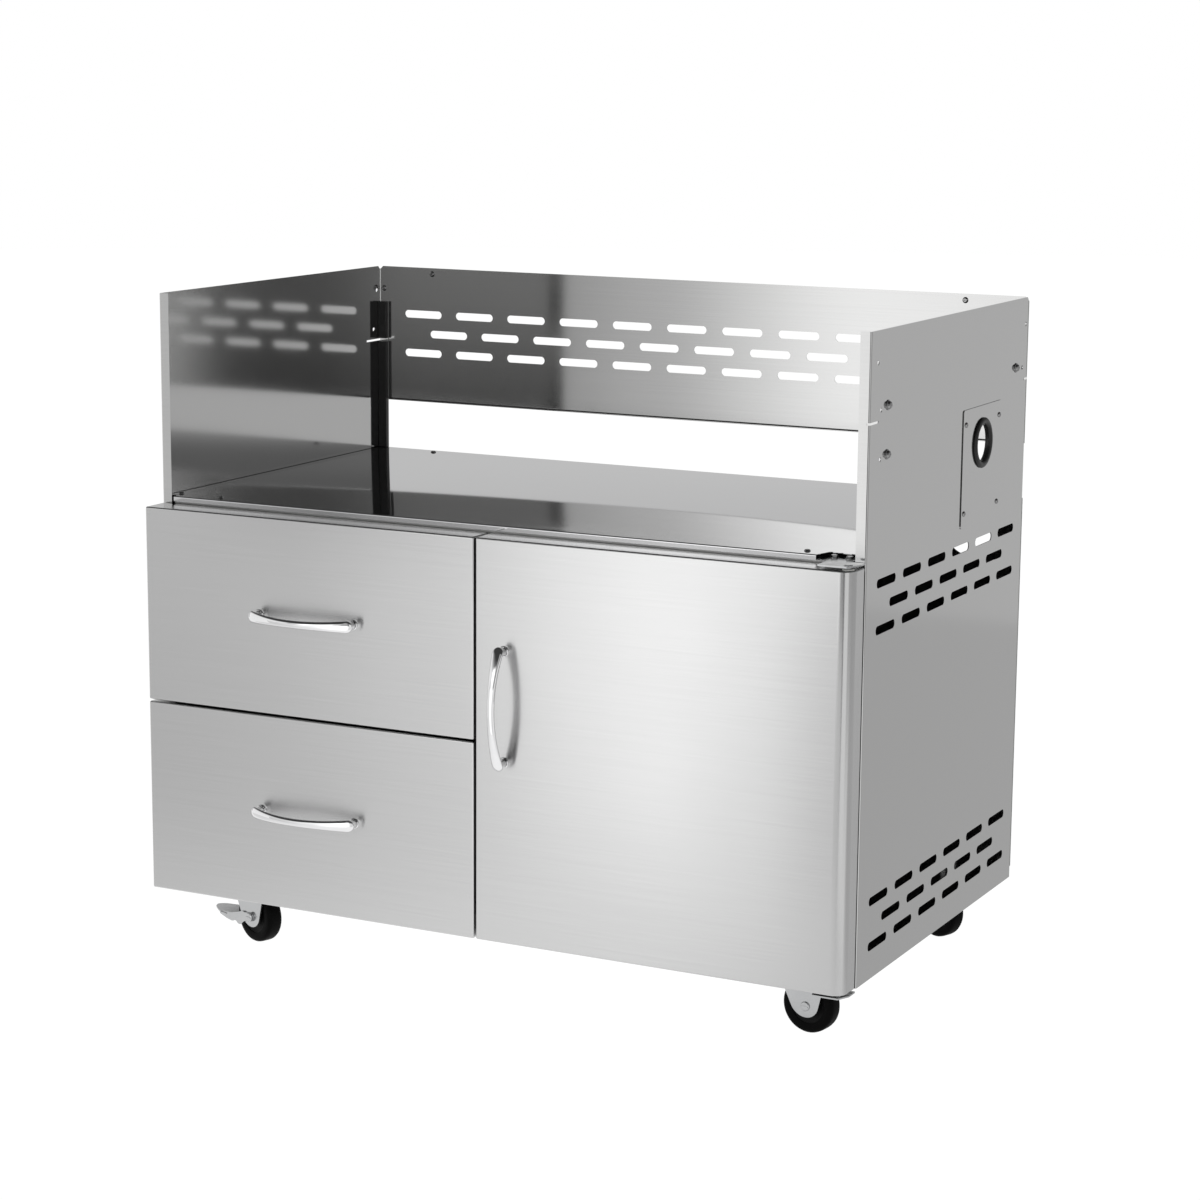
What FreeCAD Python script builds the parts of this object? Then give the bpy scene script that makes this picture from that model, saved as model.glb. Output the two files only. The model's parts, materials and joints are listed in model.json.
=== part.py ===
import FreeCAD, Part
import math
import os

from FreeCAD import Vector

# Grill cart with storage: a stainless steel cabinet on four swivel casters, open at the top to take a
# built-in grill. The left half holds two drawers, the right half a cupboard with one hinged door.
# Millimetres. The pieces are drawn from the lower front edge of the side panels, with X to the right,
# Y to the back and Z up. They are moved when they are written, so that the origin is the middle of the
# floor under the cart.

# Overall sizes
WIDTH = 1056.0  # over the side panels
PANEL_DEPTH = 588.0  # front edge to rear edge of a side panel
PANEL_HEIGHT = 838.0
GROUND_GAP = 76.0  # floor to the lower edge of the side panels
DECK_TOP = 556.0  # floor of the grill well, above the panels' lower edge
FRONT_TOP = 546.0  # upper edge of the door and of the upper drawer
FRONT_FACE = -44.0  # outer face of the door and the drawers
FRONT_BACK = -4.0  # their rear face, just ahead of the side panels
HANDLE_REACH = 40.0  # how far a handle stands out from its face

# Sheet metal
SHEET = 1.2
SKIN = 1.0
FLANGE = 17.0  # inward flange along the front and rear edges of a side panel
LIP = 9.0  # return fold on that flange
LIP_TOP = 784.0  # the return fold stops here, below the top of the panel

# Ventilation slots, the same punch everywhere
SLOT_LENGTH = 65.0
SLOT_HEIGHT = 12.0
SLOT_POINT = 5.0  # how far the ends of a slot taper, in place of a round end
SLOT_PITCH = 90.0
ROW_PITCH = 30.0
BACK_SLOTS_Z = 736.0
UPPER_VENTS_Z = 488.0
LOWER_VENTS_Z = 74.0
BACK_ROW = 11
SIDE_ROW = 6

# Carcass
PAN_BASE = 20.0  # underside of the base pan, where the casters bolt on
PAN_UPSTAND = 15.0
BACK_GAP_LOW = 632.0  # lower edge of the upper back panel
BACK_HEM = 12.0
RAIL_TOP = 549.0
RAIL_HEIGHT = 29.0
RAIL_DEPTH = 28.0
RAIL_INSET = 3.5  # from the panels' edges to a rail
DIVIDER_X = -3.9  # right face of the divider's web
DIVIDER_FLANGE = 15.0
INNER_FACE = WIDTH / 2 - SHEET
LIP_FACE = WIDTH / 2 - FLANGE  # face of a return fold, towards the middle
FIT_GAP = 1.0

# Hinge corner of the door
PIVOT_X = 515.0
PIVOT_Y = -27.0
PIN_RADIUS = 4.0
FIT = 0.06  # radial clearance of everything that turns on a pin
HINGE_PLATE = 2.0
DOOR_CORNER = 18.0
EDGE_ROUND = 2.2

# Drawers and door
DRAWER_LEFT = -527.0
DRAWER_RIGHT = -6.0
DOOR_LEFT = -3.0
DOOR_RIGHT = 527.0
DRAWER_SPLIT = 272.0
FRONT_GAP = 3.0
BOX_HEIGHT = 190.0
BOX_BACK = 510.0
BOX_RISE = 40.0  # box floor above the lower edge of its front
SLIDE_WIDTH = 12.7
SLIDE_HEIGHT = 45.0
SLIDE_LENGTH = 500.0
SLIDE_WALL = 1.2
SLIDE_FRONT = 6.0
SLIDE_RISE = 60.0  # box floor to the middle of the slides
POST_DEPTH = 17.8  # posts that carry the left slides, off the side panel

# Handles
HANDLE_CENTRES = 150.0
HANDLE_LENGTH = 166.0
DRAWER_HANDLE_X = -266.5
UPPER_HANDLE_Z = 411.0
LOWER_HANDLE_Z = 136.0
DOOR_HANDLE_X = 40.0
DOOR_HANDLE_Z = 323.0
POST_RADIUS = 6.0
POST_FLATS = 8
RING_RADIUS = 7.5
RING_HEIGHT = 3.0

# Access plate on the right side panel, with its rubber grommet
PLATE_FRONT = 334.0
PLATE_BACK = 484.0
PLATE_LOW = 545.0
PLATE_HIGH = 705.0
GROMMET_Y = 409.0
GROMMET_Z = 654.0
GROMMET_BORE = 25.0
GROMMET_OUTER = 36.0
GROMMET_LIP = 5.0  # how far its cheeks reach over the plate
GROMMET_HALF = 7.0
GROMMET_FLATS = 12

# Casters
SWIVEL_X = 422.0
SWIVEL_FRONT_Y = 33.0
SWIVEL_REAR_Y = 516.0
WHEEL_RADIUS = 37.5
TYRE_WIDTH = 24.0
HUB_RADIUS = 24.0
AXLE_RADIUS = 4.0
TRAIL = 34.0  # swivel axis to axle
WHEEL_FLATS = 16  # the wheels are drawn with this many flats
HUB_FLATS = 10
PIN_FLATS = 12  # pins that turn in a round bore are drawn with this many flats
FORK_WALL = 2.5
FORK_GAP = 1.5  # between the wheel and each fork leg
CASTER_PLATE = 2.5
CASTER_LENGTH = 92.0
CASTER_DEPTH = 60.0
CASTER_HOLES_X = 75.0
CASTER_HOLES_Y = 44.0
KINGPIN_RADIUS = 5.0
RACE_RADIUS = 23.0

ORIGIN = Vector(0, -253.0, GROUND_GAP)

X = Vector(1, 0, 0)
Y = Vector(0, 1, 0)
Z = Vector(0, 0, 1)


# Shapes


def block(x0, x1, y0, y1, z0, z1):
    """A rectangular block between two corners."""
    return Part.makeBox(x1 - x0, y1 - y0, z1 - z0, Vector(x0, y0, z0))


def rod(radius, start, direction, length):
    """A round bar or a drill, from start along direction."""
    return Part.makeCylinder(radius, length, start, direction)


def prism(points, reach):
    """A flat outline pushed along reach."""
    return Part.Face(Part.makePolygon(points + points[:1])).extrude(reach)


def rounded_path(points, radii):
    """Edges of an open path whose corners are rounded, each by its own radius."""
    edges = []
    at = points[0]
    for before, corner, after, radius in zip(points, points[1:], points[2:], radii):
        if not radius:
            edges.append(Part.LineSegment(at, corner).toShape())
            at = corner
            continue
        back = (before - corner).normalize()
        ahead = (after - corner).normalize()
        half = back.getAngle(ahead) / 2
        bisector = (back + ahead).normalize()
        start = corner + back * (radius / math.tan(half))
        end = corner + ahead * (radius / math.tan(half))
        middle = corner + bisector * (radius / math.sin(half) - radius)
        edges.append(Part.LineSegment(at, start).toShape())
        edges.append(Part.Arc(start, middle, end).toShape())
        at = end
    edges.append(Part.LineSegment(at, points[-1]).toShape())
    return edges


def folded_sheet(points, thickness, reach):
    """Sheet metal folded along a flat path and as wide as reach, its folds drawn sharp.

    The path is the sheet's right face as one walks along it with reach pointing up, and the thickness
    is to the left.
    """
    up = Vector(reach).normalize()
    steps = [(b - a).normalize() for a, b in zip(points, points[1:])]
    normals = [up.cross(step) for step in steps]
    left = [points[0] + normals[0] * thickness]
    for corner, first, second in zip(points[1:], normals, normals[1:]):
        left.append(corner + (first + second) * (thickness / (1 + first.dot(second))))
    left.append(points[-1] + normals[-1] * thickness)
    return prism(points + left[::-1], reach)


def slot_punch(centre, along, through):
    """The punch of one ventilation slot, tapered at its ends, reaching out both ways along through."""
    tip = along * (SLOT_LENGTH / 2)
    shoulder = along * (SLOT_LENGTH / 2 - SLOT_POINT)
    rise = Z * (SLOT_HEIGHT / 2)
    steps = [-tip, -shoulder - rise, shoulder - rise, tip, shoulder + rise, -shoulder + rise]
    return prism([centre - through + step for step in steps], through * 2)


def vent_punches(centre, along, through, long_row):
    """Three staggered rows of slots: a long row, one that is a slot shorter, and a long row."""
    punches = []
    for row, count in ((1, long_row), (0, long_row - 1), (-1, long_row)):
        for slot in range(count):
            offset = (slot - (count - 1) / 2) * SLOT_PITCH
            punches.append(slot_punch(centre + along * offset + Z * (row * ROW_PITCH), along, through))
    return punches


def edges_along(shape, direction, test):
    """Straight edges parallel to direction whose middle passes the test."""
    found = []
    for edge in shape.Edges:
        if not isinstance(edge.Curve, Part.Line):
            continue
        if abs(edge.Curve.Direction.dot(direction)) > 0.999 and test(edge.CenterOfMass):
            found.append(edge)
    return found


def joined(shapes):
    """Touching or overlapping solids as one clean solid."""
    return shapes[0].multiFuse(shapes[1:]).removeSplitter()


def mirrored(shape):
    """The same shape on the other side of the cart."""
    return shape.mirror(Vector(0, 0, 0), X)


# Fasteners


def many_sided(centre, out, radius, height, sides, bevel=0.0):
    """A regular prism standing on centre, with its far rim bevelled if asked."""
    side = Z if abs(out.z) < 0.5 else X
    other = out.cross(side)
    points = []
    for corner in range(sides):
        angle = 2 * math.pi * (corner + 0.5) / sides
        points.append(centre + side * (radius * math.cos(angle)) + other * (radius * math.sin(angle)))
    body = prism(points, out * height)
    if not bevel:
        return body
    top = centre + out * height
    rim = [edge for edge in body.Edges if abs((edge.CenterOfMass - top).dot(out)) < 0.001]
    return body.makeChamfer(bevel, rim)


def hex_prism(centre, out, across, height):
    """A hexagon head or nut standing on centre, by its width across the flats."""
    return many_sided(centre, out, across / math.sqrt(3), height, 6)


SHANK_FLATS = 4


def pan_screw(seat, out, head_radius=4.5, head_height=2.4, length=9.0, shank_radius=2.0):
    """A screw with a low head on seat, out pointing away from the surface, both drawn with flats."""
    head = many_sided(seat, out, head_radius, head_height, 6)
    shank = many_sided(seat - out * length, out, shank_radius, length + 0.5, SHANK_FLATS)
    return joined([head, shank])


def shank_holes(seats, out, radius=2.0, depth=12.0):
    """Punches for the shanks of screws on those seats."""
    return [many_sided(seat - out * depth, out, radius, depth * 2, SHANK_FLATS) for seat in seats]


DECK_SCREWS = [
    Vector(-515, 27, DECK_TOP),
    Vector(-445, 20, DECK_TOP),
    Vector(440, 20, DECK_TOP),
    Vector(-420, 566, DECK_TOP),
    Vector(420, 566, DECK_TOP),
]
BACK_SCREWS = [
    Vector(-434, PANEL_DEPTH, 829),
    Vector(434, PANEL_DEPTH, 829),
]
FLANGE_SCREWS = [
    Vector(-519.5, PANEL_DEPTH - SHEET, 804),
    Vector(519.5, PANEL_DEPTH - SHEET, 804),
]
PLATE_SCREWS = [
    Vector(WIDTH / 2 + SHEET, y, z)
    for y in (PLATE_FRONT + 10, PLATE_BACK - 10)
    for z in (PLATE_LOW + 20, PLATE_HIGH - 20)
]
BRACKET_BOLTS = [
    Vector(WIDTH / 2, 60, 742),
    Vector(WIDTH / 2, 60, 680),
    Vector(WIDTH / 2, 541, 743),
]
BRACKET_BOLT_RADIUS = 3.0
HINGE_BOLTS = [Vector(477, 19, RAIL_TOP + HINGE_PLATE), Vector(498, 19, RAIL_TOP + HINGE_PLATE)]
SHELF_HOLES = [(37, 738), (37, 676)]
SPARE_HOLES = [(24, 798), (577, 801), (567, 741)]
PANEL_HOLE_RADIUS = 3.0
RELIEF_Z = 724.0
RELIEF_LENGTH = 42.0
RELIEF_HEIGHT = 3.0
RELIEF_REACH = 2.2  # how far the slits and the lip's cut reach past a fold


# Carcass


def side_panel():
    """The right side panel: folded front and rear edges, vents, relief slits and holes."""
    face = WIDTH / 2
    path = [
        Vector(LIP_FACE, LIP, 0),
        Vector(LIP_FACE, 0, 0),
        Vector(face, 0, 0),
        Vector(face, PANEL_DEPTH, 0),
        Vector(LIP_FACE, PANEL_DEPTH, 0),
        Vector(LIP_FACE, PANEL_DEPTH - LIP, 0),
    ]
    panel = folded_sheet(path, SHEET, Z * PANEL_HEIGHT)
    through = X * (2 * SHEET)
    middle = Vector(face, PANEL_DEPTH / 2, UPPER_VENTS_Z)
    cuts = vent_punches(middle, Y, through, SIDE_ROW)
    cuts += vent_punches(middle + Z * (LOWER_VENTS_Z - UPPER_VENTS_Z), Y, through, SIDE_ROW)
    high = PANEL_HEIGHT + 1
    low, top = RELIEF_Z - RELIEF_HEIGHT / 2, RELIEF_Z + RELIEF_HEIGHT / 2
    for y0, y1 in ((-1, LIP + 1), (PANEL_DEPTH - LIP - 1, PANEL_DEPTH + 1)):
        cuts.append(block(LIP_FACE - 1, LIP_FACE + RELIEF_REACH, y0, y1, LIP_TOP, high))
    for y0, y1 in ((-1, RELIEF_LENGTH), (PANEL_DEPTH - RELIEF_LENGTH, PANEL_DEPTH + 1)):
        cuts.append(block(face - RELIEF_REACH, face + 1, y0, y1, low, top))
    for y0, y1 in ((-1, RELIEF_REACH), (PANEL_DEPTH - RELIEF_REACH, PANEL_DEPTH + 1)):
        cuts.append(block(face - 2 * RELIEF_REACH, face + 1, y0, y1, low, top))
    cuts += [rod(PANEL_HOLE_RADIUS, Vector(face - 5, y, z), X, 10) for y, z in SHELF_HOLES]
    cuts += [many_sided(Vector(face - 5, y, z), X, PANEL_HOLE_RADIUS, 10, 6) for y, z in SPARE_HOLES]
    return panel.cut(cuts)


PLATE_MARGIN = 15.0  # how far the access plate laps over the opening behind it


def right_side_panel():
    """The right side panel, with the opening behind the access plate and the bolts' holes."""
    y0, y1 = PLATE_FRONT + PLATE_MARGIN, PLATE_BACK - PLATE_MARGIN
    z0, z1 = PLATE_LOW + PLATE_MARGIN, PLATE_HIGH - PLATE_MARGIN
    cuts = [block(LIP_FACE, WIDTH / 2 + 1, y0, y1, z0, z1)]
    cuts += shank_holes(BRACKET_BOLTS, X, BRACKET_BOLT_RADIUS)
    cuts += shank_holes(PLATE_SCREWS, X)
    cuts += shank_holes(FLANGE_SCREWS[1:], Y)
    return side_panel().cut(cuts)


def left_side_panel():
    return mirrored(side_panel()).cut(shank_holes(FLANGE_SCREWS[:1], Y))


def upper_back_panel():
    """The slotted sheet behind the grill, with its lower edge hemmed forward."""
    half = WIDTH / 2
    back = PANEL_DEPTH + SKIN
    path = [
        Vector(-half, PANEL_DEPTH - BACK_HEM, BACK_GAP_LOW),
        Vector(-half, back, BACK_GAP_LOW),
        Vector(-half, back, PANEL_HEIGHT),
    ]
    panel = folded_sheet(path, SKIN, X * WIDTH)
    centre = Vector(0, PANEL_DEPTH, BACK_SLOTS_Z)
    cuts = vent_punches(centre, X, Y * (3 * SKIN), BACK_ROW)
    for side in (-1, 1):
        x0, x1 = sorted((side * (LIP_FACE - FIT_GAP), side * (half + 1)))
        y0 = PANEL_DEPTH - BACK_HEM - 1
        cuts.append(block(x0, x1, y0, PANEL_DEPTH, BACK_GAP_LOW - 1, BACK_GAP_LOW + 3))
    cuts += shank_holes(BACK_SCREWS + FLANGE_SCREWS, Y)
    panel = panel.cut(cuts)
    corners = edges_along(panel, Y, lambda m: abs(m.x) > half - 0.1 and m.z > PANEL_HEIGHT - 0.1)
    return panel.makeChamfer(6, corners)


GAS_HOLE = Vector(452, PANEL_DEPTH, 503)
GAS_HOLE_RADIUS = 38.0


def lower_back_panel():
    """The plain sheet that closes the cabinet behind, with the hole for a gas line."""
    sheet = block(-WIDTH / 2, WIDTH / 2, PANEL_DEPTH, PANEL_DEPTH + SKIN, PAN_BASE - 4, DECK_TOP - 2)
    return sheet.cut(rod(GAS_HOLE_RADIUS, GAS_HOLE - Y * 5, Y, 12))


NOTCH_X = 460.0
NOTCH_BACK = 28.0


def deck():
    """The floor of the grill well: a tray turned down and under along its front and rear edges."""
    span = LIP_FACE - FIT_GAP
    turn = 15
    front = 0.2
    rear = PANEL_DEPTH - SHEET - 0.2
    path = [
        Vector(-span, front + turn, RAIL_TOP),
        Vector(-span, front, RAIL_TOP),
        Vector(-span, front, DECK_TOP),
        Vector(-span, rear, DECK_TOP),
        Vector(-span, rear, RAIL_TOP),
        Vector(-span, rear - turn, RAIL_TOP),
    ]
    tray = folded_sheet(path[::-1], SHEET, X * (2 * span))
    side = INNER_FACE - 0.3
    wings = [block(span - 1, side, LIP + 2, PANEL_DEPTH - LIP - 2, DECK_TOP - SHEET, DECK_TOP)]
    wings.append(mirrored(wings[0]))
    tray = joined([tray] + wings)
    notch = [
        Vector(NOTCH_X, -1, RAIL_TOP - 1),
        Vector(side + 1, -1, RAIL_TOP - 1),
        Vector(side + 1, NOTCH_BACK, RAIL_TOP - 1),
        Vector(NOTCH_X + 8, NOTCH_BACK, RAIL_TOP - 1),
    ]
    return tray.cut([prism(notch, Z * 20)] + shank_holes(DECK_SCREWS, Z))


def rail(front):
    """A channel under the deck; its web faces forward when front is true, and backward otherwise."""
    span = LIP_FACE - FIT_GAP
    near = RAIL_INSET
    far = RAIL_INSET + RAIL_DEPTH
    low = RAIL_TOP - RAIL_HEIGHT
    path = [
        Vector(-span, far, low),
        Vector(-span, near, low),
        Vector(-span, near, RAIL_TOP),
        Vector(-span, far, RAIL_TOP),
    ]
    channel = folded_sheet(path[::-1], SHEET, X * (2 * span))
    if not front:
        channel = channel.mirror(Vector(0, PANEL_DEPTH / 2, 0), Y)
    return channel


def front_rail():
    cuts = shank_holes(HINGE_BOLTS, Z, 2.5) + shank_holes(DECK_SCREWS[1:3], Z)
    return rail(True).cut(cuts)


def rear_rail():
    """The rail under the deck's rear edge, cut out where a gas line passes below."""
    relief = many_sided(GAS_HOLE - Y * 40, Y, GAS_HOLE_RADIUS + 3, 50, 16)
    return rail(False).cut(shank_holes(DECK_SCREWS[3:], Z) + [relief])


def caster_centres():
    """The four swivel axes on the underside of the base pan."""
    centres = {}
    for row, y in (("front", SWIVEL_FRONT_Y), ("rear", SWIVEL_REAR_Y)):
        centres[row + "_left"] = Vector(-SWIVEL_X, y, PAN_BASE)
        centres[row + "_right"] = Vector(SWIVEL_X, y, PAN_BASE)
    return centres


def caster_bolt_seats():
    """Where the caster bolts' heads lie, under the caster plates."""
    return [centre + step for centre in caster_centres().values() for step in caster_bolt_places()]


def base_pan():
    """The cabinet floor: a shallow tray with upstands, notched round the folded corners."""
    side = INNER_FACE - 0.3
    near = SHEET + 0.5
    far = PANEL_DEPTH - SHEET - 0.5
    low = PAN_BASE
    top = PAN_BASE + PAN_UPSTAND
    path = [
        Vector(-side, near, top),
        Vector(-side, near, low),
        Vector(-side, far, low),
        Vector(-side, far, top),
    ]
    tray = folded_sheet(path, SHEET, X * (2 * side))
    upstand = block(side - SHEET, side, LIP + 3, PANEL_DEPTH - LIP - 3, low, top)
    tray = joined([tray, upstand, mirrored(upstand)])
    notch = FLANGE + 1
    cuts = []
    for y0, y1 in ((0, LIP + 1), (PANEL_DEPTH - LIP - 1, PANEL_DEPTH)):
        for sign in (-1, 1):
            x0, x1 = sorted((sign * (WIDTH / 2 - notch), sign * WIDTH / 2))
            cuts.append(block(x0, x1, y0, y1, low - 1, top + 1))
    cuts += square_holes(caster_bolt_seats())
    return tray.cut(cuts)


def centre_divider():
    """The upright sheet between the drawers and the cupboard, folded on all four sides."""
    web = DIVIDER_X - SHEET
    near = SHEET + FIT_GAP + SHEET
    far = PANEL_DEPTH - near
    low = PAN_BASE + SHEET
    top = RAIL_TOP - 0.5
    edge = DIVIDER_X + DIVIDER_FLANGE
    path = [
        Vector(edge, far, low),
        Vector(web, far, low),
        Vector(web, near, low),
        Vector(edge, near, low),
    ]
    wall = folded_sheet(path, SHEET, Z * (top - low))
    foot = block(DIVIDER_X - 0.2, edge, near + 20, far - 20, low, low + SHEET)
    head = block(DIVIDER_X - 0.2, edge, near + 40, far - 40, top - SHEET, top)
    wall = joined([wall, foot, head])
    under = RAIL_TOP - RAIL_HEIGHT - 0.5
    reach = RAIL_INSET + RAIL_DEPTH + FIT_GAP
    return wall.cut(
        [
            block(web - 1, edge + 1, -1, reach, under, top + 1),
            block(web - 1, edge + 1, PANEL_DEPTH - reach, PANEL_DEPTH, under, top + 1),
        ]
    )


SLIDE_POSTS_Y = (70.0, 440.0)
SLIDE_POST_WIDTH = 40.0
SLIDE_POST_HEIGHT = 480.0


def slide_posts():
    """Two hat-section posts on the left side panel, which bring the slides out past its front fold."""
    inner = -INNER_FACE
    out = inner + POST_DEPTH
    half = SLIDE_POST_WIDTH / 2
    posts = []
    for y in SLIDE_POSTS_Y:
        foot = inner + SHEET
        low = PAN_BASE + PAN_UPSTAND + 2
        path = [
            Vector(foot, y - half - 12, low),
            Vector(foot, y - half, low),
            Vector(out, y - half, low),
            Vector(out, y + half, low),
            Vector(foot, y + half, low),
            Vector(foot, y + half + 12, low),
        ]
        posts.append(folded_sheet(path, SHEET, Z * SLIDE_POST_HEIGHT))
    return Part.makeCompound(posts)


# Hinges, catch, access plate and fasteners


def pin_hole(z):
    """The punch of a hinge plate at height z, which the pin fills."""
    return many_sided(Vector(PIVOT_X, PIVOT_Y, z - 5), Z, PIN_RADIUS, 12, PIN_FLATS)


def hinge_plate_top():
    """The upper hinge plate: bolted on the front rail, it reaches over the corner of the door."""
    z = RAIL_TOP
    outline = [
        Vector(466, 44, z),
        Vector(466, -1.5, z),
        Vector(478, -8, z),
        Vector(478, -38, z),
        Vector(517, -38, z),
        Vector(527, -14, z),
        Vector(527, -1.5, z),
        Vector(508.5, -1.5, z),
        Vector(508.5, 44, z),
    ]
    plate = prism(outline, Z * HINGE_PLATE)
    return plate.cut(shank_holes(HINGE_BOLTS, Z, 2.5) + [pin_hole(z)])


LOWER_PLATE_TOP = -3.0


def hinge_plate_bottom():
    """The lower hinge plate: an angle under the base pan that reaches out below the door."""
    z = LOWER_PLATE_TOP - HINGE_PLATE
    near = SHEET + 1
    shelf_back = near + HINGE_PLATE
    path = [
        Vector(470, -40, z),
        Vector(470, shelf_back, z),
        Vector(470, shelf_back, PAN_BASE - HINGE_PLATE),
        Vector(470, shelf_back + 10, PAN_BASE - HINGE_PLATE),
    ]
    width = LIP_FACE - FIT_GAP - 470
    angle = folded_sheet([p + Z * HINGE_PLATE for p in path][::-1], HINGE_PLATE, X * width)
    outline = [
        Vector(470, -2, z),
        Vector(484, -40, z),
        Vector(519, -40, z),
        Vector(527.5, -22, z),
        Vector(527.5, -2, z),
    ]
    shelf = prism(outline, Z * HINGE_PLATE)
    trim = block(460, 530, -50, -2, z - 10, z + 20)
    plate = joined([angle.cut(trim), shelf])
    return plate.cut(pin_hole(z))


PIN_DEPTH = 12.0


def hinge_pins():
    """Two headed pins, pressed into the hinge plates and pointing into the door."""
    pins = []
    seats = ((RAIL_TOP + HINGE_PLATE, Z), (LOWER_PLATE_TOP - HINGE_PLATE, Z * -1))
    for z, out in seats:
        seat = Vector(PIVOT_X, PIVOT_Y, z)
        reach = HINGE_PLATE + PIN_DEPTH
        head = many_sided(seat, out, PIN_RADIUS + 1.5, 1.2, BUSH_FLATS)
        pin = many_sided(seat - out * reach, out, PIN_RADIUS, reach, PIN_FLATS)
        pins.append(joined([pin, head]))
    return Part.makeCompound(pins)


BUSH_WALL = 2.0
BUSH_LENGTH = 11.0
BUSH_FLATS = 8


def hinge_bushes():
    """Two plain bushes in the door's top and bottom, which turn on the pins."""
    bushes = []
    for z, out in ((FRONT_TOP, Z), (0, Z * -1)):
        seat = Vector(PIVOT_X, PIVOT_Y, z)
        around = PIN_RADIUS + BUSH_WALL
        body = many_sided(seat - out * BUSH_LENGTH, out, around, BUSH_LENGTH, BUSH_FLATS)
        collar = many_sided(seat, out, around + 2, 1.0, BUSH_FLATS)
        bore = rod(PIN_RADIUS + FIT, seat - out * (BUSH_LENGTH + 1), out, BUSH_LENGTH + 3)
        bushes.append(joined([body, collar]).cut(bore))
    return Part.makeCompound(bushes)


CATCH_X = 62.0
CATCH_WIDTH = 46.0


def door_catch():
    """A magnetic catch that hangs under the front rail."""
    top = RAIL_TOP - RAIL_HEIGHT
    body = block(CATCH_X, CATCH_X + CATCH_WIDTH, -3.2, 12, top - 14, top)
    poles = (CATCH_X + 8, CATCH_X + 26)
    magnets = [block(x, x + 12, -3.4, 0, top - 11, top - 3) for x in poles]
    return joined([body] + magnets)


def door_strike():
    """The steel strike on the back of the door, opposite the catch."""
    top = RAIL_TOP - RAIL_HEIGHT
    left, right = CATCH_X + 4, CATCH_X + CATCH_WIDTH - 4
    return block(left, right, FRONT_BACK, FRONT_BACK + 0.3, top - 13, top - 1)


def access_plate():
    """The screwed cover on the right side panel, with round corners and the grommet's hole."""
    face = WIDTH / 2
    plate = block(face, face + SHEET, PLATE_FRONT, PLATE_BACK, PLATE_LOW, PLATE_HIGH)
    plate = plate.makeChamfer(4, edges_along(plate, X, lambda m: True))
    groove = GROMMET_OUTER - GROMMET_LIP
    hole = many_sided(Vector(face - 5, GROMMET_Y, GROMMET_Z), X, groove, 12, GROMMET_FLATS)
    return plate.cut([hole] + shank_holes(PLATE_SCREWS, X))


def access_grommet():
    """A rubber ring with a groove that grips the edge of the plate's hole."""
    middle = WIDTH / 2 + SHEET / 2
    cheek = SHEET / 2
    half = GROMMET_HALF
    groove = GROMMET_OUTER - GROMMET_LIP
    inner = GROMMET_BORE
    seat = Vector(0, GROMMET_Y, GROMMET_Z)
    body = many_sided(seat + X * (middle - half), X, groove, 2 * half, GROMMET_FLATS, 3.0)
    outer = many_sided(seat + X * (middle + cheek), X, GROMMET_OUTER, half - cheek, GROMMET_FLATS, 3.6)
    ring = joined([body, outer])
    return ring.cut(rod(inner, seat + X * (middle - half - 1), X, half * 2 + 2))


def panel_screws():
    """Screws of the deck, the upper back panel, its side flanges and the access plate."""
    screws = [pan_screw(seat, Z) for seat in DECK_SCREWS]
    screws += [pan_screw(seat, Y * -1, length=4.0) for seat in BACK_SCREWS + FLANGE_SCREWS]
    screws += [pan_screw(seat, X, 3.8, 2.0, 8.0) for seat in PLATE_SCREWS]
    return Part.makeCompound(screws)


def bracket_bolts():
    """Three bolts through the right side panel, ready for an inside bracket, with their nuts."""
    bolts = []
    for seat in BRACKET_BOLTS:
        bolts.append(pan_screw(seat, X, 6.0, 3.0, 14.0, BRACKET_BOLT_RADIUS))
        nut = hex_prism(seat - X * SHEET, X * -1, 10, 5)
        bolts.append(nut.cut(shank_holes([seat], X, BRACKET_BOLT_RADIUS)))
    return Part.makeCompound(bolts)


def hinge_plate_bolts():
    bolts = []
    for seat in HINGE_BOLTS:
        head = hex_prism(seat, Z, 8, 3.2)
        bolts.append(joined([head, many_sided(seat - Z * 10, Z, 2.5, 10, SHANK_FLATS)]))
    return Part.makeCompound(bolts)


# Drawers


def front_shell(x0, x1, z0, z1):
    """A box-shaped front folded from sheet: face and four returns, open behind."""
    outer = block(x0, x1, FRONT_FACE, FRONT_BACK, z0, z1)
    rim = [edge for edge in outer.Edges if abs(edge.CenterOfMass.y - FRONT_FACE) < 0.01]
    outer = outer.makeFillet(EDGE_ROUND, rim)
    hollow = block(x0 + SKIN, x1 - SKIN, FRONT_FACE + SKIN, FRONT_BACK + 1, z0 + SKIN, z1 - SKIN)
    return outer.cut(hollow)


def drawer_front(z0, z1, handle_z):
    shell = front_shell(DRAWER_LEFT, DRAWER_RIGHT, z0, z1)
    return shell.cut(handle_drills(Vector(DRAWER_HANDLE_X, FRONT_FACE, handle_z), X))


def drawer_liner(z0, z1):
    """The plate that closes the front from behind and carries the box."""
    left, right = DRAWER_LEFT + SKIN, DRAWER_RIGHT - SKIN
    return block(left, right, FRONT_BACK - SKIN, FRONT_BACK, z0 + SKIN, z1 - SKIN)


BOX_LEFT = -INNER_FACE + POST_DEPTH + SLIDE_WIDTH
BOX_RIGHT = DIVIDER_X - SHEET - SLIDE_WIDTH
BOX_HEM = 5.0


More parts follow.
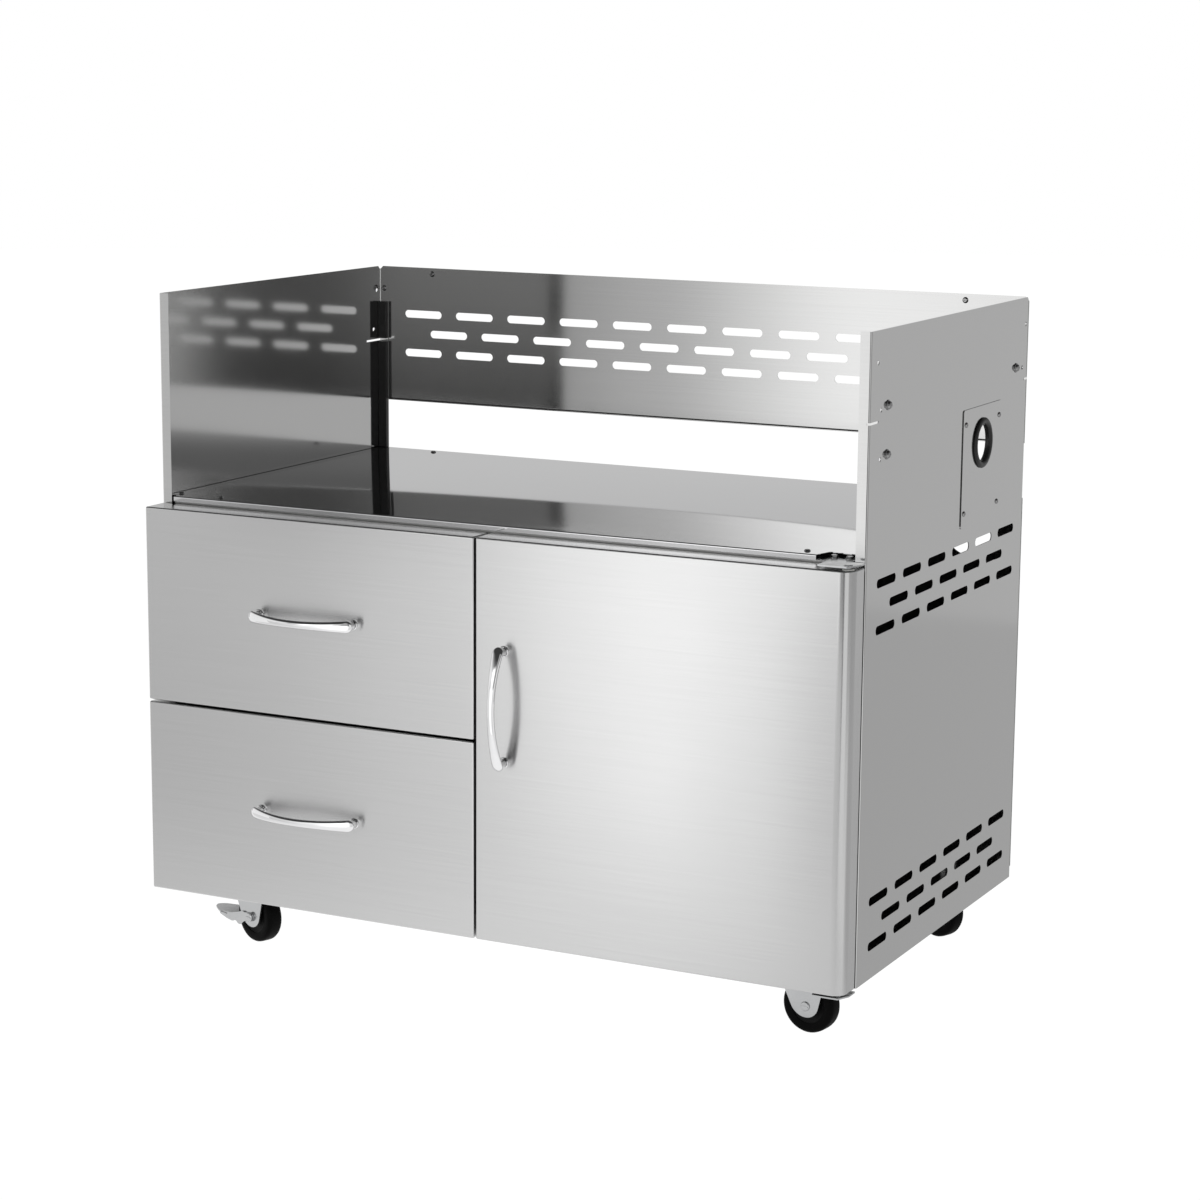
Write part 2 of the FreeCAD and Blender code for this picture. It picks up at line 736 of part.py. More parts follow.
def drawer_box(base):
    """An open-topped sheet box with a rolled edge along its side walls."""
    z0, z1 = base + BOX_RISE, base + BOX_RISE + BOX_HEIGHT
    outer = block(BOX_LEFT, BOX_RIGHT, FRONT_BACK, BOX_BACK, z0, z1)
    outer = outer.makeFillet(EDGE_ROUND, edges_along(outer, Y, lambda m: m.z < z0 + 1))
    left, right = BOX_LEFT + SKIN, BOX_RIGHT - SKIN
    near, far = FRONT_BACK + SKIN, BOX_BACK - SKIN
    inner = block(left, right, near, far, z0 + SKIN, z1 + 1)
    inner = inner.makeFillet(EDGE_ROUND - SKIN, edges_along(inner, Y, lambda m: m.z < z0 + 2))
    hems = [
        block(left, left + BOX_HEM, near, far, z1 - SKIN, z1),
        block(right - BOX_HEM, right, near, far, z1 - SKIN, z1),
    ]
    return joined([outer.cut(inner)] + hems)


def channel_section(wall, out, depth, height, base, length):
    """A slide member: a channel whose web lies at wall and whose flanges point along out."""
    x_web = sorted((wall, wall + out * SLIDE_WALL))
    x_all = sorted((wall, wall + out * depth))
    y0, y1 = base.y, base.y + length
    half = height / 2
    parts = [block(x_web[0], x_web[1], y0, y1, base.z - half, base.z + half)]
    parts.append(block(x_all[0], x_all[1], y0, y1, base.z + half - SLIDE_WALL, base.z + half))
    parts.append(block(x_all[0], x_all[1], y0, y1, base.z - half, base.z - half + SLIDE_WALL))
    return joined(parts)


def slide_members(base, member):
    """One member of both slides of a drawer: outer on the cabinet, middle, or inner on the box."""
    base_point = Vector(0, SLIDE_FRONT, base + BOX_RISE + SLIDE_RISE)
    step, way, depth, height = {
        "outer": (0.0, 1, 9.0, SLIDE_HEIGHT),
        "middle": (2.0, 1, 7.5, SLIDE_HEIGHT - 3.4),
        "inner": (SLIDE_WIDTH, -1, 8.2, SLIDE_HEIGHT - 7.0),
    }[member]
    pair = []
    for wall, out in ((BOX_LEFT - SLIDE_WIDTH, 1), (BOX_RIGHT + SLIDE_WIDTH, -1)):
        web = wall + out * step
        pair.append(channel_section(web, out * way, depth, height, base_point, SLIDE_LENGTH))
    return Part.makeCompound(pair)


# Door


def door_outline(inset, back):
    """The door seen from above, square on the left and round at the hinge corner."""
    left = DOOR_LEFT + inset
    right = DOOR_RIGHT - inset
    front = FRONT_FACE + inset
    corners = ((left, back), (left, front), (right, front), (right, back))
    points = [Vector(x, y, 0) for x, y in corners]
    edges = rounded_path(points, [EDGE_ROUND - inset, DOOR_CORNER - inset])
    edges.append(Part.LineSegment(points[-1], points[0]).toShape())
    return Part.Face(Part.Wire(edges))


def door_skin():
    """The outer pan of the door: face, round corner and returns, open behind."""
    outer = door_outline(0, FRONT_BACK).extrude(Z * FRONT_TOP)
    inner = door_outline(SKIN, FRONT_BACK + 1).extrude(Z * (FRONT_TOP - 2 * SKIN))
    inner.translate(Z * SKIN)
    drills = handle_drills(Vector(DOOR_HANDLE_X, FRONT_FACE, DOOR_HANDLE_Z), Z)
    below = Vector(PIVOT_X, PIVOT_Y, -1)
    drills.append(many_sided(below, Z, PIN_RADIUS + BUSH_WALL, FRONT_TOP + 2, BUSH_FLATS))
    return outer.cut([inner] + drills)


def door_liner():
    """The inner plate of the door."""
    left, right = DOOR_LEFT + SKIN, DOOR_RIGHT - SKIN
    return block(left, right, FRONT_BACK - SKIN, FRONT_BACK, SKIN, FRONT_TOP - SKIN)


# Handles


def handle_drills(centre, along):
    """Drills for the two screws of a handle on a front."""
    half = along * (HANDLE_CENTRES / 2)
    return shank_holes([centre + half, centre - half], Y, 2.0, 3.0)


HANDLE_TIP_REACH = 17.0  # how far the ends of the bow stand off the face
HANDLE_THICK = 6.5
HANDLE_WAIST = 5.2  # half width in the middle
HANDLE_SHOULDER = 8.3  # half width over the posts
BOW_FLATS = 8  # the bow is drawn with this many flats along its arch
TIP_FLATS = 4


def arc_points(start, middle, end, flats):
    """Points along an arc, one more than its flats."""
    return Part.Arc(start, middle, end).toShape().discretize(flats + 1)


def bow_handle(centre, along):
    """A bow handle: an arched bar, narrow in the middle and rounded at its ends, on two posts."""
    across = along.cross(Y)
    out = Y * -1
    half = HANDLE_LENGTH / 2
    post = HANDLE_CENTRES / 2
    front = [
        centre + along * -half + out * HANDLE_TIP_REACH,
        centre + out * HANDLE_REACH,
        centre + along * half + out * HANDLE_TIP_REACH,
    ]
    behind = [
        centre + along * (half - 2) + out * (HANDLE_TIP_REACH - 3),
        centre + out * (HANDLE_REACH - HANDLE_THICK),
        centre + along * (2 - half) + out * (HANDLE_TIP_REACH - 3),
    ]
    crest = arc_points(*front, BOW_FLATS)
    side = crest + arc_points(*behind, BOW_FLATS)
    shift = across * (HANDLE_SHOULDER + 1)
    band = prism([point - shift for point in side], shift * 2)
    rim = []
    for sign in (1, -1):
        wide = across * (sign * HANDLE_SHOULDER)
        start = centre + along * (-sign * post) + wide
        waist = centre + across * (sign * HANDLE_WAIST)
        end = centre + along * (sign * post) + wide
        tip = centre + along * (sign * half)
        rim += arc_points(start, waist, end, TIP_FLATS)[:-1]
        rim += arc_points(end, tip, centre + along * (sign * post) - wide, TIP_FLATS)[:-1]
    plan = prism(rim, out * (HANDLE_REACH + 2))
    bow = band.common(plan)
    under = crest + [centre + along * half, centre - along * half]
    under = prism([point - shift for point in under], shift * 2)
    feet = [centre + along * (sign * post) for sign in (-1, 1)]
    posts = [many_sided(foot, out, POST_RADIUS, HANDLE_REACH, POST_FLATS) for foot in feet]
    return joined([bow] + [one.common(under) for one in posts])


def handle_fixings(centre, along):
    """The washers at the feet of a handle's posts, and the screws that hold it from inside."""
    pieces = []
    for side in (-1, 1):
        foot = centre + along * (side * HANDLE_CENTRES / 2)
        ring = many_sided(foot, Y * -1, RING_RADIUS, RING_HEIGHT, POST_FLATS)
        eye = many_sided(foot + Y, Y * -1, POST_RADIUS, RING_HEIGHT + 2, POST_FLATS)
        pieces.append(ring.cut(eye))
        pieces.append(pan_screw(foot + Y * SKIN, Y, 5.0, 2.6, SKIN))
    return Part.makeCompound(pieces)


# Casters

HUB_DROP = PAN_BASE + GROUND_GAP - WHEEL_RADIUS  # pan to axle
HUB_CENTRE = Vector(TRAIL, 0, -HUB_DROP)
RACE_LOW = 13.0  # underside of the fixed ball race
FORK_TOP = 14.0
LEG_FACE = TYRE_WIDTH / 2 + FORK_GAP
PEDAL_GAP = 0.5
PEDAL_WALL = 2.0
KINGPIN_HEAD = 3.0
BOLT_NECK = 6.0


def caster_bolt_places():
    """The four holes of a caster plate, from its swivel axis."""
    steps = []
    for dx in (-CASTER_HOLES_X / 2, CASTER_HOLES_X / 2):
        for dy in (-CASTER_HOLES_Y / 2, CASTER_HOLES_Y / 2):
            steps.append(Vector(dx, dy, -CASTER_PLATE))
    return steps


def bolt_neck(seat, z0, z1):
    """The square neck of a caster bolt on its seat."""
    half = BOLT_NECK / 2
    return block(seat.x - half, seat.x + half, seat.y - half, seat.y + half, z0, z1)


def square_holes(seats):
    """Square punches for the necks of the caster bolts."""
    return [bolt_neck(seat, seat.z - 12, seat.z + 12) for seat in seats]


def caster_base():
    """The fixed top of a caster: drilled plate, ball race and kingpin."""
    half_x, half_y = CASTER_LENGTH / 2, CASTER_DEPTH / 2
    plate = block(-half_x, half_x, -half_y, half_y, -CASTER_PLATE, 0)
    plate = plate.makeChamfer(7, edges_along(plate, Z, lambda m: True))
    down = Z * -1
    race_height = RACE_LOW - CASTER_PLATE
    race = many_sided(Vector(0, 0, -CASTER_PLATE), down, RACE_RADIUS, race_height, 10)
    kingpin_low = -FORK_TOP - FORK_WALL - PEDAL_GAP
    foot = Vector(0, 0, kingpin_low)
    kingpin = many_sided(foot, Z, KINGPIN_RADIUS, -RACE_LOW - kingpin_low, PIN_FLATS)
    head = many_sided(foot, down, KINGPIN_RADIUS + 3, KINGPIN_HEAD, 6)
    return joined([plate, race, kingpin, head]).cut(square_holes(caster_bolt_places()))


def caster_fork():
    """The turning fork: a crown plate and two legs that taper down to the axle."""
    top = -FORK_TOP
    low = HUB_CENTRE.z
    width = LEG_FACE + FORK_WALL
    crown = many_sided(Vector(0, 0, top - FORK_WALL), Z, RACE_RADIUS + 2, FORK_WALL, 8)
    heel, toe = -18.0, 21.0
    bridge = block(heel, toe, -width, width, top - FORK_WALL, top)
    boss = 11.0
    cut = boss * 0.7
    outline = [
        Vector(heel, 0, top),
        Vector(TRAIL - 24, 0, low + 30),
        Vector(TRAIL - boss, 0, low),
        Vector(TRAIL - cut, 0, low - cut),
        Vector(TRAIL + cut, 0, low - cut),
        Vector(TRAIL + boss, 0, low),
        Vector(TRAIL + boss + 8, 0, low + 24),
        Vector(toe, 0, top),
    ]
    parts = [crown, bridge]
    for y in (-width, LEG_FACE):
        parts.append(prism([point + Y * y for point in outline], Y * FORK_WALL))
    bore = rod(KINGPIN_RADIUS + FIT, Vector(0, 0, top - 10), Z, 20)
    axle_hole = many_sided(Vector(TRAIL, -40, low), Y, AXLE_RADIUS, 80, PIN_FLATS)
    return joined(parts).cut([bore, axle_hole])


def caster_axle(braked):
    """The axle bolt with its head and nut, longer where it also carries the brake pedal."""
    far = LEG_FACE + FORK_WALL
    if braked:
        far += 2 * PEDAL_GAP + PEDAL_WALL
    bolt = many_sided(HUB_CENTRE - Y * far, Y, AXLE_RADIUS, 2 * far, PIN_FLATS)
    head = many_sided(HUB_CENTRE - Y * far, Y * -1, 6.5, 3.0, 8)
    return joined([bolt, head, hex_prism(HUB_CENTRE + Y * far, Y, 12, 5)])


def caster_tyre():
    """The tread: a rubber ring with sloped shoulders."""
    half = TYRE_WIDTH / 2
    corner = WHEEL_RADIUS / math.cos(math.pi / WHEEL_FLATS)
    wheel = many_sided(HUB_CENTRE, Y, corner, half, WHEEL_FLATS, 5.0)
    wheel = joined([wheel, wheel.mirror(HUB_CENTRE, Y)])
    return wheel.cut(many_sided(HUB_CENTRE - Y * half * 2, Y, HUB_RADIUS, half * 4, HUB_FLATS))


def caster_hub():
    """The moulded wheel centre with its boss."""
    half = TYRE_WIDTH / 2
    body = many_sided(HUB_CENTRE - Y * (half - 2), Y, HUB_RADIUS, 2 * half - 4, HUB_FLATS)
    boss = many_sided(HUB_CENTRE - Y * half, Y, 9.0, 2 * half, 8)
    bore = rod(AXLE_RADIUS + FIT, HUB_CENTRE - Y * (half + 1), Y, 2 * half + 2)
    return joined([body, boss]).cut(bore)


def brake_pedal():
    """A foot pedal stamped from sheet: two ears on the axle and a tapering shoe that reaches back."""
    inner = LEG_FACE + FORK_WALL + PEDAL_GAP
    outer = inner + PEDAL_WALL
    boss = 7.5
    cut = boss * 0.7
    ear = [
        Vector(boss, 0, 0),
        Vector(cut, 0, cut),
        Vector(-10, 0, 5),
        Vector(-16, 0, 12),
        Vector(-28, 0, 14),
        Vector(-40, 0, 9),
        Vector(-62, 0, 10),
        Vector(-62, 0, 5),
        Vector(-44, 0, -2),
        Vector(-30, 0, -3),
        Vector(-24, 0, -12),
        Vector(-14, 0, -8),
        Vector(-cut, 0, -cut),
        Vector(cut, 0, -cut),
    ]
    parts = [prism([HUB_CENTRE + p + Y * y for p in ear], Y * PEDAL_WALL) for y in (-outer, inner)]
    shoe = [
        Vector(-42, outer, 8),
        Vector(-42, -outer, 8),
        Vector(-62, -outer, 8),
        Vector(-74, -outer * 0.6, 8),
        Vector(-78, 0, 8),
        Vector(-74, outer * 0.6, 8),
        Vector(-62, outer, 8),
    ]
    parts.append(prism([HUB_CENTRE + p for p in shoe], Z * PEDAL_WALL))
    return joined(parts).cut(many_sided(HUB_CENTRE - Y * 40, Y, AXLE_RADIUS + 0.8, 80, 8))


# How each caster happens to stand, as the turn of its trail from +X, in degrees
CASTER_TURN = {"front_left": -20.0, "front_right": -8.0, "rear_left": 15.0, "rear_right": -22.0}
BRAKED = ("front_left", "rear_left")


def caster_at(shape, corner, turns=True):
    """A caster piece brought from the swivel axis to its corner of the cart."""
    placed = shape.copy()
    if turns:
        placed.rotate(Vector(0, 0, 0), Z, CASTER_TURN[corner])
    placed.translate(caster_centres()[corner])
    return placed


def caster_bolts():
    """Sixteen bolts from below with nuts on the base pan."""
    bolts = []
    for seat in caster_bolt_seats():
        head = hex_prism(seat, Z * -1, 10, 4)
        nut = hex_prism(seat + Z * (CASTER_PLATE + SHEET), Z, 10, 5)
        neck = bolt_neck(seat, seat.z, seat.z + CASTER_PLATE + SHEET)
        bolts.append(joined([head, neck, nut]))
    return Part.makeCompound(bolts)


# Assembly


def pieces():
    """Every piece of the cart by name."""
    upper_base = DRAWER_SPLIT + FRONT_GAP / 2
    lower_top = DRAWER_SPLIT - FRONT_GAP / 2
    upper_handle = Vector(DRAWER_HANDLE_X, FRONT_FACE, UPPER_HANDLE_Z)
    lower_handle = Vector(DRAWER_HANDLE_X, FRONT_FACE, LOWER_HANDLE_Z)
    door_handle = Vector(DOOR_HANDLE_X, FRONT_FACE, DOOR_HANDLE_Z)
    made = {
        "side_panel_left": left_side_panel(),
        "side_panel_right": right_side_panel(),
        "upper_back_panel": upper_back_panel(),
        "lower_back_panel": lower_back_panel(),
        "deck": deck(),
        "front_rail": front_rail(),
        "rear_rail": rear_rail(),
        "base_pan": base_pan(),
        "centre_divider": centre_divider(),
        "slide_posts": slide_posts(),
        "hinge_plate_top": hinge_plate_top(),
        "hinge_plate_bottom": hinge_plate_bottom(),
        "hinge_pins": hinge_pins(),
        "hinge_plate_bolts": hinge_plate_bolts(),
        "door_catch": door_catch(),
        "access_plate": access_plate(),
        "access_grommet": access_grommet(),
        "panel_screws": panel_screws(),
        "bracket_bolts": bracket_bolts(),
        "caster_bolts": caster_bolts(),
        "door_skin": door_skin(),
        "door_liner": door_liner(),
        "door_strike": door_strike(),
        "hinge_bushes": hinge_bushes(),
        "door_handle": bow_handle(door_handle, Z),
        "door_handle_fixings": handle_fixings(door_handle, Z),
    }
    drawers = (
        ("upper", upper_base, FRONT_TOP, upper_handle),
        ("lower", 0.0, lower_top, lower_handle),
    )
    for name, low, high, grip in drawers:
        made[name + "_drawer_front"] = drawer_front(low, high, grip.z)
        made[name + "_drawer_liner"] = drawer_liner(low, high)
        made[name + "_drawer_box"] = drawer_box(low)
        made[name + "_drawer_handle"] = bow_handle(grip, X)
        made[name + "_handle_fixings"] = handle_fixings(grip, X)
        made[name + "_slide_middle"] = slide_members(low, "middle")
        made[name + "_slide_inner"] = slide_members(low, "inner")
    outer_members = [slide_members(low, "outer") for low in (0.0, upper_base)]
    made["slide_outer_members"] = Part.makeCompound(outer_members)
    bases = [caster_at(caster_base(), corner, False) for corner in CASTER_TURN]
    made["caster_bases"] = Part.makeCompound(bases)
    for corner in CASTER_TURN:
        braked = corner in BRAKED
        made[corner + "_fork"] = caster_at(caster_fork(), corner)
        made[corner + "_axle"] = caster_at(caster_axle(braked), corner)
        made[corner + "_tyre"] = caster_at(caster_tyre(), corner)
        made[corner + "_hub"] = caster_at(caster_hub(), corner)
        if braked:
            made[corner + "_brake_pedal"] = caster_at(brake_pedal(), corner)
    return made


def main():
    os.makedirs("parts", exist_ok=True)
    for name, shape in pieces().items():
        solids = shape.Solids
        if not solids or not all(solid.isValid() for solid in solids):
            raise ValueError("not a sound solid: " + name)
        piece = solids[0] if len(solids) == 1 else Part.makeCompound(solids)
        piece.translated(ORIGIN).exportStep("parts/" + name + ".step")


main()
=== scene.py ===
"""Looks of the grill cart: its sheet metal, handles, screws and casters, dark rubber strips of painted
shade, and a studio.
"""

import json
import math

import bmesh
import bpy
from bpy.props import FloatProperty, FloatVectorProperty, PointerProperty
from mathutils import Matrix, Vector


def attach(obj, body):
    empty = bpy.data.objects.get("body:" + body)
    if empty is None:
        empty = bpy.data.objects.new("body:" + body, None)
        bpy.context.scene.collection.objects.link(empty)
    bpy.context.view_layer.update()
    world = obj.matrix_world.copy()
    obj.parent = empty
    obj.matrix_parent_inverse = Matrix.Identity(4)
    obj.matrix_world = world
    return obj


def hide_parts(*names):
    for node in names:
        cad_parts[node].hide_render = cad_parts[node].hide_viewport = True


bl_info = {
    "name": "Grill cart with storage",
    "version": (1, 0, 0),
    "blender": (4, 5, 0),
    "location": "3D View > Sidebar > Grill cart",
    "description": "Builds the sheet metal, handles, casters and studio of a stainless grill cart",
    "category": "Object",
}

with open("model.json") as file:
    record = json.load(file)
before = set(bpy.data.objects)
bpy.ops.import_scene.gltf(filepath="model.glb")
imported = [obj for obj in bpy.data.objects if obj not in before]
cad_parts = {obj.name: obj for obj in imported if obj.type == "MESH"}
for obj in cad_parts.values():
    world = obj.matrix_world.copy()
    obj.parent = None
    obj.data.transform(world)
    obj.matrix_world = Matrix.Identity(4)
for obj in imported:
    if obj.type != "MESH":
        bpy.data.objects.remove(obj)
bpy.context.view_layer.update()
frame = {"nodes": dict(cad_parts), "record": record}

MM = 0.001
X = Vector((1, 0, 0))
Y = Vector((0, 1, 0))
Z = Vector((0, 0, 1))

# The cart is drawn in millimetres from the lower front edge of its side panels.
GROUND_GAP = 76
HALF_DEPTH = 253
TO_FLOOR_FRAME = Matrix.Scale(MM, 4) @ Matrix.Translation((0, -HALF_DEPTH, GROUND_GAP))

WIDTH = 1056
DEPTH = 588
HEIGHT = 838
SHEET = 1.2
SKIN = 1.0
FOLD = 2.2
FLANGE = 17
LIP = 9
LIP_TOP = 784
PANEL_CLIP = 4
VENT_ROWS_Z = (488, 74)
SIDE_ROW = 6
BACK_SLOTS_Z = 736
BACK_ROW = 11
BACK_LOW = 632
BACK_HEM = 12
BACK_CLIP = 6
DECK_TOP = 556
DECK_FOLD = 1.5
DECK_HEM = 14
# The deck is bowed highest at this x and flat this far to the left and the right of it.
CROWN_X = 80
CROWN_LEFT = 590
CROWN_RIGHT = 430
RAIL_TOP = 549
FRONT_TOP = 546
FRONT_FACE = -44
FRONT_BACK = -4
DRAWER_X = (-527, -6)
DOOR_X = (-3, 527)
DRAWER_Z = {"upper": (273.5, FRONT_TOP), "lower": (0, 270.5)}
SLOT_LENGTH = 65
SLOT_HEIGHT = 12
SLOT_PITCH = 90
ROW_PITCH = 30
SLIT_LOW = 722.5
SLIT_TOP = 725.5
SLIT_WRAP = 2
# How far the relief slits run in from the front and the rear edge of the left and the right panel.
SLIT_LENGTHS = {-1: (0, 42), 1: (29, 14)}
PLATE_Y = (334, 484)
PLATE_Z = (545, 705)
PLATE_MARGIN = 15
GROMMET = (409, 654)
HOLE_RADIUS = 3.0
REAR_HOLES = ((577, 801), (567, 741))
FRONT_HOLES = ((24, 798), (37, 738), (37, 676))
DECK_SCREWS = ((-515, 27), (-445, 20), (440, 20), (-420, 566), (420, 566))
# Across, how far in front of the back's plane, and up.
BACK_SCREWS = ((-434, 0, 829), (434, 0, 829), (-519.5, SHEET, 804), (519.5, SHEET, 804))
BRACKET_BOLTS = ((60, 742), (60, 680), (541, 743))
HANDLE_CENTRES = 150
HANDLE_HALF = 83
HANDLE_REACH = 40
HANDLE_TIP = 17
BOW_STATIONS = 48
DRAWER_HANDLE_X = -266.5
UPPER_HANDLE_Z = 411
LOWER_HANDLE_Z = 136
DOOR_HANDLE = (40, 323)
PIVOT = (515, -27)
HINGE_PLATE = 2
LOWER_PIN_Z = -5
HINGE_BOLTS = ((477, 19), (498, 19))
PAN_BASE = 20
WHEEL_RADIUS = 37.5
TRAIL = 34
HUB_Z = WHEEL_RADIUS - GROUND_GAP - PAN_BASE
HUB = Vector((TRAIL, 0, HUB_Z))
LEG_FACE = 13.5
FORK_WALL = 2.5
FORK_X = (-33, 28)
CROWN_Z = -14
PEDAL_SHEET = 2
FOOT_PLATE_Z = -7.5
# Where each caster's swivel axis stands, and how far its fork is turned, in degrees.
CASTERS = {
    "front_left": (-422, 33, -20),
    "front_right": (422, 33, -8),
    "rear_left": (-422, 516, 15),
    "rear_right": (422, 516, -22),
}
BRAKED = ("front_left", "rear_left")


def paint(name, described, colour):
    """A finish's colour that a user may change."""
    return FloatVectorProperty(
        name=name, description=described, default=colour, min=0, max=1, size=3, subtype="COLOR"
    )


def amount(name, described, default, low, high, subtype="NONE"):
    """A number that a user may change, with its limits."""
    return FloatProperty(
        name=name, description=described, default=default, min=low, max=high, subtype=subtype
    )


class CartFinish(bpy.types.PropertyGroup):
    brushed_panel: paint("Brushed panel", "Steel of the side panels and the back", (0.52, 0.52, 0.517))
    front_steel: paint("Front steel", "Steel of the door and the drawers", (0.56, 0.56, 0.56))
    polished_deck: paint("Polished deck", "Steel of the grill well's floor", (0.6, 0.6, 0.605))
    inner_steel: paint("Inner steel", "Mill-finish sheet inside the cabinet", (0.48, 0.48, 0.475))
    zinc_plate: paint("Zinc plate", "Zinc of casters, slides and hinges", (0.47, 0.475, 0.48))
    screw_steel: paint("Screw steel", "Plain stainless screws", (0.32, 0.32, 0.32))
    handle_chrome: paint("Handle chrome", "Polished plate of the handles", (0.78, 0.78, 0.785))
    # The grommet's rubber also colours the dark strips of painted shade in the panels' rear channels and
    # in the door's gap.
    grommet_rubber: paint("Grommet rubber", "Rubber of the grommet and the seals", (0.012, 0.012, 0.012))
    tread_rubber: paint("Tread rubber", "Black rubber of the wheels", (0.002, 0.002, 0.002))
    hub_plastic: paint("Hub plastic", "Black plastic of the wheel centres", (0.004, 0.004, 0.004))
    bush_nylon: paint("Bush nylon", "Pale nylon of the hinge bushes", (0.8, 0.8, 0.77))
    catch_plastic: paint("Catch plastic", "Black plastic of the door catch", (0.03, 0.03, 0.03))
    panel_roughness: amount("Panel roughness", "Blur of the side panels", 0.09, 0.02, 1, "FACTOR")
    front_roughness: amount("Front roughness", "Blur of the door and drawers", 0.22, 0.02, 1, "FACTOR")
    deck_roughness: amount("Deck roughness", "Blur of the deck", 0.035, 0.02, 1, "FACTOR")


class CartShape(bpy.types.PropertyGroup):
    edge_round: amount("Edge round", "Rounding of the pressed fronts, in mm", 2.2, 0.5, 4)
    door_corner: amount("Door corner", "Radius of the door's upright corner, in mm", 18, 4, 20)
    handle_waist: amount("Handle waist", "Half width of a handle in its middle, in mm", 5.2, 3, 8)
    handle_shoulder: amount("Handle shoulder", "Half width of a handle over its posts, in mm", 8.2, 4, 9)
    handle_thick: amount("Handle thickness", "Thickness of a handle's bow, in mm", 7.5, 3, 9)
    deck_crown: amount("Deck crown", "How far the deck's sheet is bowed upwards, in mm", 4.0, 0, 6)


class StudioLight(bpy.types.PropertyGroup):
    floor_glow: amount("Floor glow", "Brightness of the pale floor", 1.0, 0, 5)
    sky: amount("Sky", "Brightness of the room at eye height", 1.0, 0, 5)
    ceiling: amount("Ceiling", "Brightness of the room overhead", 0.05, 0, 5)
    softbox: amount("Softbox", "Brightness of the boxes in front", 1.0, 0, 9)
    backdrop: amount("Backdrop", "Brightness of the backdrop", 1.0, 0, 9)
    flag: amount("Flag", "Brightness of the grey card beside the camera", 0.38, 0, 1)


# Materials

# The blur's direction leans by this, so that it is never square to a fold or an edge of the sheet.
TILT = Vector((0.03, 0.02, 0.025))
# The noise mostly stays between these.
NOISE_RANGE = (0.3, 0.7)
# Roughness and mottle of the plated metals.
PLATED = {"zinc_plate": (0.2, 0.03), "screw_steel": (0.2, 0.03), "handle_chrome": (0.05, 0.02)}
# Depth in metres of the skin on what is moulded.
SKIN_RELIEF = 0.00004
# Roughness and shine of the moulded pieces.
MOULDED = {
    "grommet_rubber": (0.4, 0.35),
    "tread_rubber": (0.5, 0.04),
    "hub_plastic": (0.5, 0.1),
    "bush_nylon": (0.45, 0.5),
    "catch_plastic": (0.5, 0.5),
}


def cleared_tree(owner):
    """The emptied node tree of a material or of the world."""
    owner.use_nodes = True
    owner.node_tree.nodes.clear()
    return owner.node_tree


def add_node(tree, kind, inputs=(), **settings):
    """A new node with its settings, and its inputs given values or linked to other nodes' outputs."""
    node = tree.nodes.new(kind)
    for name, value in settings.items():
        setattr(node, name, value)
    set_inputs(tree, node, inputs)
    return node


def set_inputs(tree, node, inputs):
    """Gives a node's inputs values, or links them to other nodes' outputs."""
    for name, value in dict(inputs).items():
        if isinstance(value, bpy.types.NodeSocket):
            tree.links.new(value, node.inputs[name])
        else:
            node.inputs[name].default_value = value


def new_material(name):
    """A new material, its node tree, and its shader linked to the output."""
    material = bpy.data.materials.new(name)
    tree = cleared_tree(material)
    shader = add_node(tree, "ShaderNodeBsdfPrincipled")
    add_node(tree, "ShaderNodeOutputMaterial", {"Surface": shader.outputs[0]})
    return material, tree, shader


def object_noise(tree, stretch, scale, detail):
    """Noise in object coordinates, stretched by three factors."""
    place = add_node(tree, "ShaderNodeTexCoord").outputs["Object"]
    stretched = add_node(tree, "ShaderNodeMapping", {"Vector": place, "Scale": stretch}).outputs[0]
    settings = {"Vector": stretched, "Scale": scale, "Detail": detail}
    return add_node(tree, "ShaderNodeTexNoise", settings).outputs["Fac"]


def ranged(tree, value, results, limits=NOISE_RANGE, kind="LINEAR"):
    """A value spread from one pair of limits to another."""
    inputs = {"Value": value, "From Min": limits[0], "From Max": limits[1]}
    inputs |= {"To Min": results[0], "To Max": results[1]}
    return add_node(tree, "ShaderNodeMapRange", inputs, interpolation_type=kind).outputs["Result"]


def worked_out(tree, operation, *values):
    """The result of an operation on numbers or other nodes' outputs."""
    return add_node(tree, "ShaderNodeMath", enumerate(values), operation=operation).outputs[0]


def shaded(tree, value, colour, depth):
    """A colour that goes from darker to lighter by depth, with a noise value."""
    dark = (*[c * (1 - depth) for c in colour], 1)
    light = (*[min(1, c * (1 + depth)) for c in colour], 1)
    inputs = {"Factor": ranged(tree, value, (0, 1)), "A": dark, "B": light}
    return add_node(tree, "ShaderNodeMix", inputs, data_type="RGBA").outputs["Result"]


def brushed_steel(name, colour, roughness, anisotropy, across):
    """Stainless sheet: fine lines, a blur that is longer across them, and faint cloudy wear."""
    material, tree, shader = new_material(name)
    lines = object_noise(tree, (6, 900, 900), 1.0, 4.0)
    clouds = object_noise(tree, (1, 1, 1), 5.0, 2.0)
    grain = ranged(tree, lines, (roughness * 0.92, roughness))
    wear = ranged(tree, clouds, (0.0, roughness * 0.2))
    direction = add_node(tree, "ShaderNodeCombineXYZ", zip("XYZ", across + TILT)).outputs[0]
    to_world = {"vector_type": "VECTOR", "convert_from": "OBJECT", "convert_to": "WORLD"}
    tangent = add_node(tree, "ShaderNodeVectorTransform", {"Vector": direction}, **to_world).outputs[0]
    looks = {"Metallic": 1.0, "Anisotropic": anisotropy, "Base Color": shaded(tree, lines, colour, 0.02)}
    looks |= {"Roughness": worked_out(tree, "ADD", grain, wear), "Tangent": tangent}
    set_inputs(tree, shader, looks)
    return material


